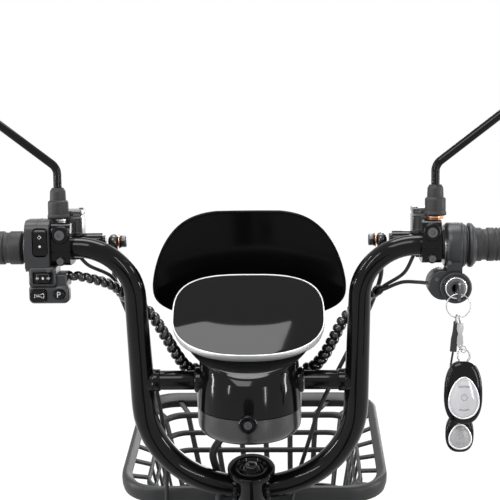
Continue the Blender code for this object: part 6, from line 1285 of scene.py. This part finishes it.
BASKET_HALF_WIDTH = 0.167
BASKET_HALF_DEPTH = 0.145
BASKET_FLOOR = 0.6846
NEAR_RIM = bar(0, 0.145, -0.322)
BASKET_MIDDLE = NEAR_RIM.y + BASKET_HALF_DEPTH
BASKET_TILT = math.radians(9.5)


def rim_height(y, rise):
    """Height on the basket's tilted rim plane, raised by this much."""
    return NEAR_RIM.z + (y - NEAR_RIM.y) * math.tan(BASKET_TILT) + rise


def basket_ring(inset, rise, radius, floor=None):
    """One loop of the basket: inset from the rim, and above its tilted plane or at a floor height."""
    loop = []
    for x, y in rounded_rectangle(BASKET_HALF_WIDTH - inset, BASKET_HALF_DEPTH - inset, radius, 10):
        y += BASKET_MIDDLE
        loop.append(Vector((x, y, rim_height(y, rise) if floor is None else floor)))
    return loop


def slats(name, places, body, finish, half_wide, half_deep, rings=9, round_steps=3):
    """Straight slats, one for each (foot, head, outward) triple, laid by nodes on short guide lines."""
    corners = [tuple(end) for foot, head, _ in places for end in (foot, head)]
    mesh = bpy.data.meshes.new(name)
    mesh.from_pydata(corners, [(k, k + 1) for k in range(0, len(corners), 2)], [])
    normals = mesh.attributes.new("outward", "FLOAT_VECTOR", "POINT")
    for k, (_, _, out) in enumerate(places):
        normals.data[2 * k].vector = out
        normals.data[2 * k + 1].vector = out

    def build(tree, guides, wide, deep):
        curve = add_node(tree, "GeometryNodeMeshToCurve", {0: guides})
        curve = add_node(tree, "GeometryNodeResampleCurve", {0: curve, "Count": rings})
        out = add_node(tree, "GeometryNodeInputNamedAttribute", {"Name": "outward"}, data_type="FLOAT_VECTOR")
        curve = add_node(tree, "GeometryNodeSetCurveNormal", {"Curve": curve, "Normal": out}, mode="FREE")
        section = add_node(tree, "GeometryNodeCurvePrimitiveQuadrilateral",
                           {"Height": times(tree, wide, 2), "Width": times(tree, deep, 2)})
        rounding = {"Curve": section, "Radius": times(tree, deep, 0.45), "Count": round_steps}
        section = add_node(tree, "GeometryNodeFilletCurve", rounding, mode="POLY")
        return add_node(tree, "GeometryNodeCurveToMesh",
                        {"Curve": curve, "Profile Curve": section, "Fill Caps": True})

    return laid(name, mesh, {"Half width": half_wide, "Half depth": half_deep}, build, body, finish)


def on_loop(loop, share):
    """A point of a closed loop at a share of its length, and the loop's direction there."""
    lengths = [(loop[(k + 1) % len(loop)] - loop[k]).length for k in range(len(loop))]
    reach = (share % 1.0) * sum(lengths)
    for k, length in enumerate(lengths):
        if reach <= length:
            ahead = loop[(k + 1) % len(loop)] - loop[k]
            return loop[k] + ahead * (reach / length), ahead.normalized()
        reach -= length
    return loop[0], (loop[1] - loop[0]).normalized()


def basket():
    """Moulded basket: rolled rim, shoulder with slits, barred walls with leaning slats, barred floor."""
    floor = Vector((0, 0, BASKET_FLOOR)).z
    rim = [(0.0125, -0.0005, 0.044), (0.0060, 0.0060, 0.046), (0.0030, 0.0066, 0.048),
           (0.0006, 0.0050, 0.050), (0.0, 0.001, 0.050), (0.0004, -0.0070, 0.050), (0.0022, -0.0135, 0.049),
           (0.0046, -0.0140, 0.048), (0.0052, -0.0050, 0.047), (0.0090, -0.0042, 0.046)]
    parts = [skin([basket_ring(*p) for p in rim], closed=True)]
    for inset, top, deep in ((0.0305, -0.0100, 0.0085), (0.0352, -0.0345, 0.0070), (0.0392, -0.0580, 0.0070)):
        hoop = []
        for u, v in oval(0.0024, deep / 2, 16, 3.0):
            hoop.append(basket_ring(inset + 0.0015 - u, top - deep / 2 + v, 0.033))
        parts.append(skin(hoop, closed=True))
    base = [basket_ring(inset, 0, radius, floor + rise) for inset, radius, rise in (
        (0.046, 0.036, 0.024), (0.0478, 0.036, 0.009), (0.052, 0.034, 0.001), (0.060, 0.030, 0),
        (0.060, 0.030, 0.0042), (0.0550, 0.032, 0.0055), (0.052, 0.032, 0.011), (0.050, 0.032, 0.024))]
    parts.append(skin(base, closed=True))
    seen("basket_rims", parts, "steering", BASKET, ("basket",), angle=45)
    for name, low, high, wide, deep in (("basket_shoulder_slats", basket_ring(0.0322, -0.0122, 0.033),
                                         basket_ring(0.0088, -0.0046, 0.046), 0.0020, 0.0040),
                                        ("basket_wall_slats", basket_ring(0.0482, 0, 0.034, floor + 0.020),
                                         basket_ring(0.0318, -0.0160, 0.033), 0.0018, 0.0038)):
        places = []
        for k in range(26):
            foot, along = on_loop(low, k / 26)
            head, _ = on_loop(high, k / 26)
            places.append((foot, head, along))
        slats(name, places, "steering", BASKET, wide, deep)
    bars = []
    for k in range(7):
        y = BASKET_MIDDLE + (k - 3) * 0.026
        bars.append((Vector((-0.104, y, floor + 0.0022)), Vector((0.104, y, floor + 0.0022)), FORE))
    for k in range(5):
        x = (k - 2) * 0.040
        bars.append((Vector((x, BASKET_MIDDLE - 0.085, floor + 0.0022)),
                     Vector((x, BASKET_MIDDLE + 0.085, floor + 0.0022)), ACROSS))
    slats("basket_floor_bars", bars, "steering", BASKET, 0.0070, 0.0020)


# Saddle cushion

SADDLE_PLAN = ((0, 0.062), (0.012, 0.079), (0.035, 0.093), (0.08, 0.105), (0.14, 0.1135), (0.22, 0.118),
               (0.32, 0.1155), (0.44, 0.100), (0.56, 0.077), (0.68, 0.055), (0.80, 0.040), (0.90, 0.0315),
               (0.96, 0.025), (1.0, 0.012))
CUSHION_LENGTH = 0.27
CUSHION_BEHIND_POST = 0.1215
CUSHION_ABOVE_POST = 0.0118
CUSHION_RISE = 0.055


def saddle_half(share):
    """Half width of the saddle from its tail, share 0, to its nose, share 1."""
    last = len(SADDLE_PLAN) - 1
    k = max(i for i in range(last) if SADDLE_PLAN[i][0] <= share)
    slopes = []
    for i in (k, k + 1):
        before, after = SADDLE_PLAN[max(i - 1, 0)], SADDLE_PLAN[min(i + 1, last)]
        slopes.append((after[1] - before[1]) / (after[0] - before[0]))
    (s0, w0), (s1, w1) = SADDLE_PLAN[k], SADDLE_PLAN[k + 1]
    span = s1 - s0
    t = (share - s0) / span
    ease = t * t * (3 - 2 * t)
    bend = (t * (1 - t) ** 2 * slopes[0] - t * t * (1 - t) * slopes[1]) * span
    return w0 + (w1 - w0) * ease + bend


def cushion_point(share, angle, proud=0.0):
    """A point of the cushion's skin: along from its tail, and round it from its right edge over the top."""
    ends = math.sqrt(1 - (1 - min(share / 0.09, (1 - share) / 0.09, 1)) ** 2)
    rise = CUSHION_RISE * (1 - 0.22 * share) * (0.35 + 0.65 * ends)
    across = raised(math.cos(angle), 0.62)
    up = math.sin(angle)
    height = 0.40 + (0.60 * up ** 0.85 if up > 0 else -0.40 * (-up) ** 0.7)
    channel = 0.0075 * max(0.0, 1 - ((share - 0.45) / 0.42) ** 2) * math.exp(-(across / 0.16) ** 2)
    waist = 1 - 0.035 * math.exp(-((height - 0.30) / 0.10) ** 2)
    low = SEAT_POST_TOP.z + CUSHION_ABOVE_POST
    point = Vector((across * saddle_half(share) * waist,
                    SEAT_POST_TOP.y - CUSHION_BEHIND_POST + share * CUSHION_LENGTH,
                    low + rise * height - (channel if up > 0 else 0.0)))
    away = Vector((math.cos(angle), 0, up))
    return point + proud * away


def saddle():
    """Padded cushion: crowned, waisted at its piped seam, with a sunk middle and a stitched top panel."""
    shares = [0.5 - 0.5 * math.cos(math.pi * k / 60) for k in range(61)]
    shares = [0.004 + 0.992 * s for s in shares]
    rings = [[cushion_point(s, 2 * math.pi * (j + 0.5) / 56) for j in range(56)] for s in shares]
    cushion = seen("saddle_pad", [skin(rings)], "saddle", LEATHER, ("saddle_cushion",), angle=80, levels=1)
    for name, angle, size, finish in (("saddle_piping", 0.03, 0.0017, LEATHER),
                                      ("saddle_panel_seam", 0.80, 0.0009, RUBBER)):
        route = [cushion_point(s, angle, 0.0002) for s in shares[1:-1]]
        route += [cushion_point(s, math.pi - angle, 0.0002) for s in reversed(shares[1:-1])]
        seen(name, [sweep(evenly(route + route[:1], 0.005)[:-1], size, 10, closed=True, hint=UP)], "saddle",
             finish)
    stitches = []
    for half in (0, 1):
        route = [cushion_point(s, 0.72 if half else math.pi - 0.72, 0.0004) for s in shares[2:-2]]
        route = evenly(route, 0.0026)
        for k in range(0, len(route) - 2, 2):
            stitches.append((route[k], route[k + 1], UP))
    slats("saddle_stitches", stitches, "saddle", STITCH, 0.0004, 0.0004, 2, 1)


# Tyres and wheels

def fat_tyre(label, axle, body):
    """Balloon tyre with raised sidewall lines and chevron tread blocks set round it by nodes."""
    half = [(0.2123, 0.0335), (0.2150, 0.0375), (0.2220, 0.0405), (0.2300, 0.0440), (0.2330, 0.0452),
            (0.2345, 0.0458), (0.2370, 0.0466), (0.2480, 0.0482), (0.2580, 0.0486), (0.2600, 0.0489),
            (0.2615, 0.0485), (0.2700, 0.0468), (0.2770, 0.0436), (0.2815, 0.0385), (0.2840, 0.0310),
            (0.2855, 0.0200), (0.2862, 0.0100)]
    profile = [(r, -x) for r, x in half] + [(0.2864, 0.0)] + [(r, x) for r, x in reversed(half)]
    shell = lathe(profile, axle, ACROSS, 144, ring=True, soft=0)
    seen(label + "_tyre_carcass", [shell], body, TYRE, (label + "_tyre",), angle=50)
    blocks = []
    pitches = 56
    rows = ((0.0030, 0.0155, 0.2874, 0.2866, 0.35, 0.0), (0.0185, 0.0300, 0.2862, 0.2846, 0.45, 0.5),
            (0.0330, 0.0420, 0.2832, 0.2785, 0.20, 0.0))
    for k in range(pitches):
        for side in (-1, 1):
            for x0, x1, r0, r1, skew, shift in rows:
                angle = 2 * math.pi * (k + shift + (0.25 if side > 0 else 0.75)) / pitches
                ends = []
                for x, radius, turn in ((x0, r0, 0.0), (x1, r1, skew / pitches * 6.28 * 0.6)):
                    ends.append(axle + side * x * ACROSS + radius * outwards(angle + turn))
                blocks.append((*ends, outwards(angle)))
    slats(label + "_tyre_tread", blocks, body, TYRE, 0.0078, 0.0025, 2, 1)


def cast_wheel(label, axle, body, hub_radius, hub_half, disc_side, drive_side):
    """Cast rim with a deep well, five waisted spokes in pairs of ribs, and the turned hub."""
    half = [(0.2085, 0.0230), (0.2121, 0.0330), (0.2205, 0.0390), (0.2216, 0.0386), (0.2150, 0.0358),
            (0.2060, 0.0322), (0.1960, 0.0290), (0.1888, 0.0270), (0.1880, 0.0255)]
    profile = [(0.2085, 0.0)] + [(r, -x) for r, x in half] + half[::-1]
    parts = [lathe(profile, axle, ACROSS, 144, ring=True, soft=0)]
    reach = [hub_radius - 0.006, hub_radius + 0.012, 0.5 * (hub_radius + 0.19), 0.172, 0.190]
    sizes = [1.45, 1.18, 0.92, 1.0, 1.35]
    quarter = [(0.012, 0.0040), (0.0110, 0.0058), (0.0060, 0.0058), (0.0040, 0.0036)]
    upper = quarter + [(-u, v) for u, v in reversed(quarter)]
    section = upper + [(-u, -v) for u, v in upper]
    for k in range(5):
        out = outwards(2 * math.pi * (k + 0.25) / 5)
        route = flowing([axle + r * out for r in reach], 6)
        scale = []
        for i in range(len(route)):
            spot = i / (len(route) - 1) * (len(sizes) - 1)
            j = min(int(spot), len(sizes) - 2)
            scale.append(sizes[j] + (sizes[j + 1] - sizes[j]) * (spot - j))
        parts.append(sweep(route, scale, hint=ACROSS, section=section))
    bore = 0.0073
    hub = [(bore, -disc_side), (0.018, -disc_side), (0.018, -hub_half - 0.002),
           (hub_radius * 0.72, -hub_half - 0.001), (hub_radius * 0.94, -hub_half + 0.003),
           (hub_radius, -hub_half + 0.010), (hub_radius, hub_half - 0.010),
           (hub_radius * 0.94, hub_half - 0.003), (hub_radius * 0.72, hub_half + 0.001),
           (0.017, hub_half + 0.002), (0.017, drive_side), (bore, drive_side)]
    parts.append(lathe(hub, axle, ACROSS, 96, ring=True, soft=0.0008))
    seen(label + "_cast_wheel", parts, body, CAST, (label + "_wheel",), angle=38)


# Mudguards

STAY_LEVEL = 0.0955
STAY_WIRE = 0.0022


def mudguard(name, axle, first, last, body, node, stays=()):
    """A rolled shell with a curved crown and turned-down lips; angles turn forwards from the top."""
    half = FENDER_WIDTH / 2
    arc = [math.pi * k / 32 for k in range(33)]
    outer = [(half * raised(math.cos(t), 2 / 3), -FENDER_LIP * (1 - max(math.sin(t), 0.0) ** (2 / 3)))
             for t in arc]
    inner = [(x * (half - FENDER_WALL) / half, -FENDER_WALL + drop * 0.875) for x, drop in reversed(outer)]
    steps = round((last - first) / 2)
    rings = []
    for k in range(steps + 1):
        out = outwards(math.radians(first + (last - first) * k / steps))
        rings.append([axle + x * ACROSS + (FENDER_OUTER + drop) * out for x, drop in outer + inner])
    seen(name, [skin(rings), *stays], body, GLOSS, (node,), angle=50)


def mudguards():
    """Both guards; a wire stay at each side holds the rear one from its lip to the dropout."""
    mudguard("front_guard", FRONT_AXLE, -78, 18, "fork_legs", "front_fender")
    out = outwards(math.radians(-75))
    stays = []
    for side in (-1, 1):
        edge = REAR_AXLE + (FENDER_OUTER - 0.014) * out + side * (FENDER_WIDTH / 2 - 0.001) * ACROSS
        knee = REAR_AXLE + FENDER_OUTER * 0.7 * out + side * STAY_LEVEL * ACROSS
        foot = REAR_AXLE + 0.024 * out + side * STAY_LEVEL * ACROSS
        stays.append(sweep(evenly([edge, knee, foot], 0.02), STAY_WIRE, 12, hint=UP))
    mudguard("rear_guard", REAR_AXLE, -92, 61, "frame", "rear_fender", stays)


# Studio

def softbox(name, place, target, wide, tall, power):
    light = bpy.data.lights.new(name, "AREA")
    light.shape = "RECTANGLE"
    light.size = wide
    light.size_y = tall
    light.energy = power
    obj = linked(name, light)
    obj.location = place
    obj.rotation_euler = (Vector(place) - Vector(target)).to_track_quat("Z", "Y").to_euler()
    return obj


def background_rays(tree):
    """1 for a ray that shows the background: straight to the camera, or by way of metal or glass."""
    path = tree.nodes.new("ShaderNodeLightPath")
    total = path.outputs["Is Camera Ray"]
    for kind in ("Is Glossy Ray", "Is Transmission Ray"):
        total = add_node(tree, "ShaderNodeMath", {0: total, 1: path.outputs[kind]}, operation="MAXIMUM")
    return total


def studio():
    """White surroundings, a pale floor that keeps the shadow, soft lights and the rider's camera."""
    world = bpy.data.worlds.new("studio")
    bpy.context.scene.world = world
    world.use_nodes = True
    tree = world.node_tree
    shown = tree.nodes["Background"]
    shown.inputs["Color"].default_value = (1, 1, 1, 1)
    shown.inputs["Strength"].default_value = 1.0
    lit = add_node(tree, "ShaderNodeBackground", {"Color": (1, 1, 1, 1), "Strength": 0.05})
    mix = add_node(tree, "ShaderNodeMixShader", {0: background_rays(tree), 1: lit, 2: shown.outputs[0]})
    tree.links.new(mix, tree.nodes["World Output"].inputs["Surface"])
    mesh = bpy.data.meshes.new("floor")
    mesh.from_pydata([(-30, -30, 0), (30, -30, 0), (30, 30, 0), (-30, 30, 0)], [], [(0, 1, 2, 3)])
    floor = linked("floor", mesh)
    pale = bpy.data.materials.new("pale floor")
    pale.use_nodes = True
    tree = pale.node_tree
    diffuse = tree.nodes["Principled BSDF"]
    diffuse.inputs["Base Color"].default_value = (0.8, 0.8, 0.8, 1)
    diffuse.inputs["Roughness"].default_value = 0.9
    glow = add_node(tree, "ShaderNodeEmission", {"Strength": 1.12})
    share = times(tree, background_rays(tree), 0.9)
    mix = add_node(tree, "ShaderNodeMixShader", {0: share, 1: diffuse.outputs[0], 2: glow})
    tree.links.new(mix, tree.nodes["Material Output"].inputs["Surface"])
    mesh.materials.append(pale)
    look = (0, 0.25, 0.9)
    softbox("overhead", (0.0, 0.75, 3.2), look, 1.6, 1.0, 60)
    softbox("ceiling", (-0.6, -1.75, 3.0), (-0.6, -1.75, 0), 1.5, 1.6, 68)
    softbox("ahead", (0.9, 3.4, 1.6), look, 1.0, 1.8, 36)
    softbox("left", (-2.4, 0.1, 1.5), look, 0.10, 2.0, 42)
    softbox("right", (2.5, 0.2, 1.5), look, 0.10, 2.0, 42)
    softbox("left front", (-1.9, -1.7, 1.5), look, 0.10, 1.6, 20)
    softbox("right front", (1.7, -2.0, 1.2), look, 0.12, 1.6, 22)
    camera = bpy.data.cameras.new("rider's view")
    camera.sensor_width = 36
    camera.lens = 87.98
    camera.clip_start = 0.05
    obj = linked("rider's view", camera)
    pitch = math.radians(7.2)
    yaw = math.radians(1.84)
    roll = math.radians(0.66)
    ahead = Vector((-math.sin(yaw) * math.cos(pitch), math.cos(yaw) * math.cos(pitch), -math.sin(pitch)))
    level = Vector((math.cos(yaw), math.sin(yaw), 0))
    over = Vector((-math.sin(yaw) * math.sin(pitch), math.cos(yaw) * math.sin(pitch), math.cos(pitch)))
    right = math.cos(roll) * level - math.sin(roll) * over
    top = math.sin(roll) * level + math.cos(roll) * over
    turn = Matrix((right, top, -ahead)).transposed().to_4x4()
    obj.matrix_world = Matrix.Translation(GRIP_MIDDLE + Vector((0.046, -1.30, 0.160))) @ turn
    bpy.context.scene.camera = obj
    bpy.context.scene.view_settings.view_transform = "Standard"


def dress_cad():
    """Give the CAD nodes that stay in view their procedural materials."""
    finishes = {finish.slot: finish
                for finish in (GLOSS, SATIN, PLASTIC, SHINY, BASKET, RUBBER, TYRE, BRIGHT, STEEL, CAST,
                               SCREEN, LAMP_GLASS, RED, LEATHER)}
    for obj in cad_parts.values():
        for place in obj.material_slots:
            place.material = finishes[place.material.name.split(".")[0]].material


dress_cad()
handlebar()
grips()
switch_housing()
switches()
for hand in (-1, 1):
    brake_control(hand)
    mirror(hand)
throttle_housing()
keys()
lamp_pod()
dash()
visor()
looms()
basket()
saddle()
mudguards()
fat_tyre("front", FRONT_AXLE, "front_wheel")
fat_tyre("rear", REAR_AXLE, "rear_wheel")
cast_wheel("front", FRONT_AXLE, "front_wheel", 0.026, 0.046, 0.0515, 0.050)
cast_wheel("rear", REAR_AXLE, "rear_wheel", 0.098, 0.043, 0.0700, 0.068)
studio()
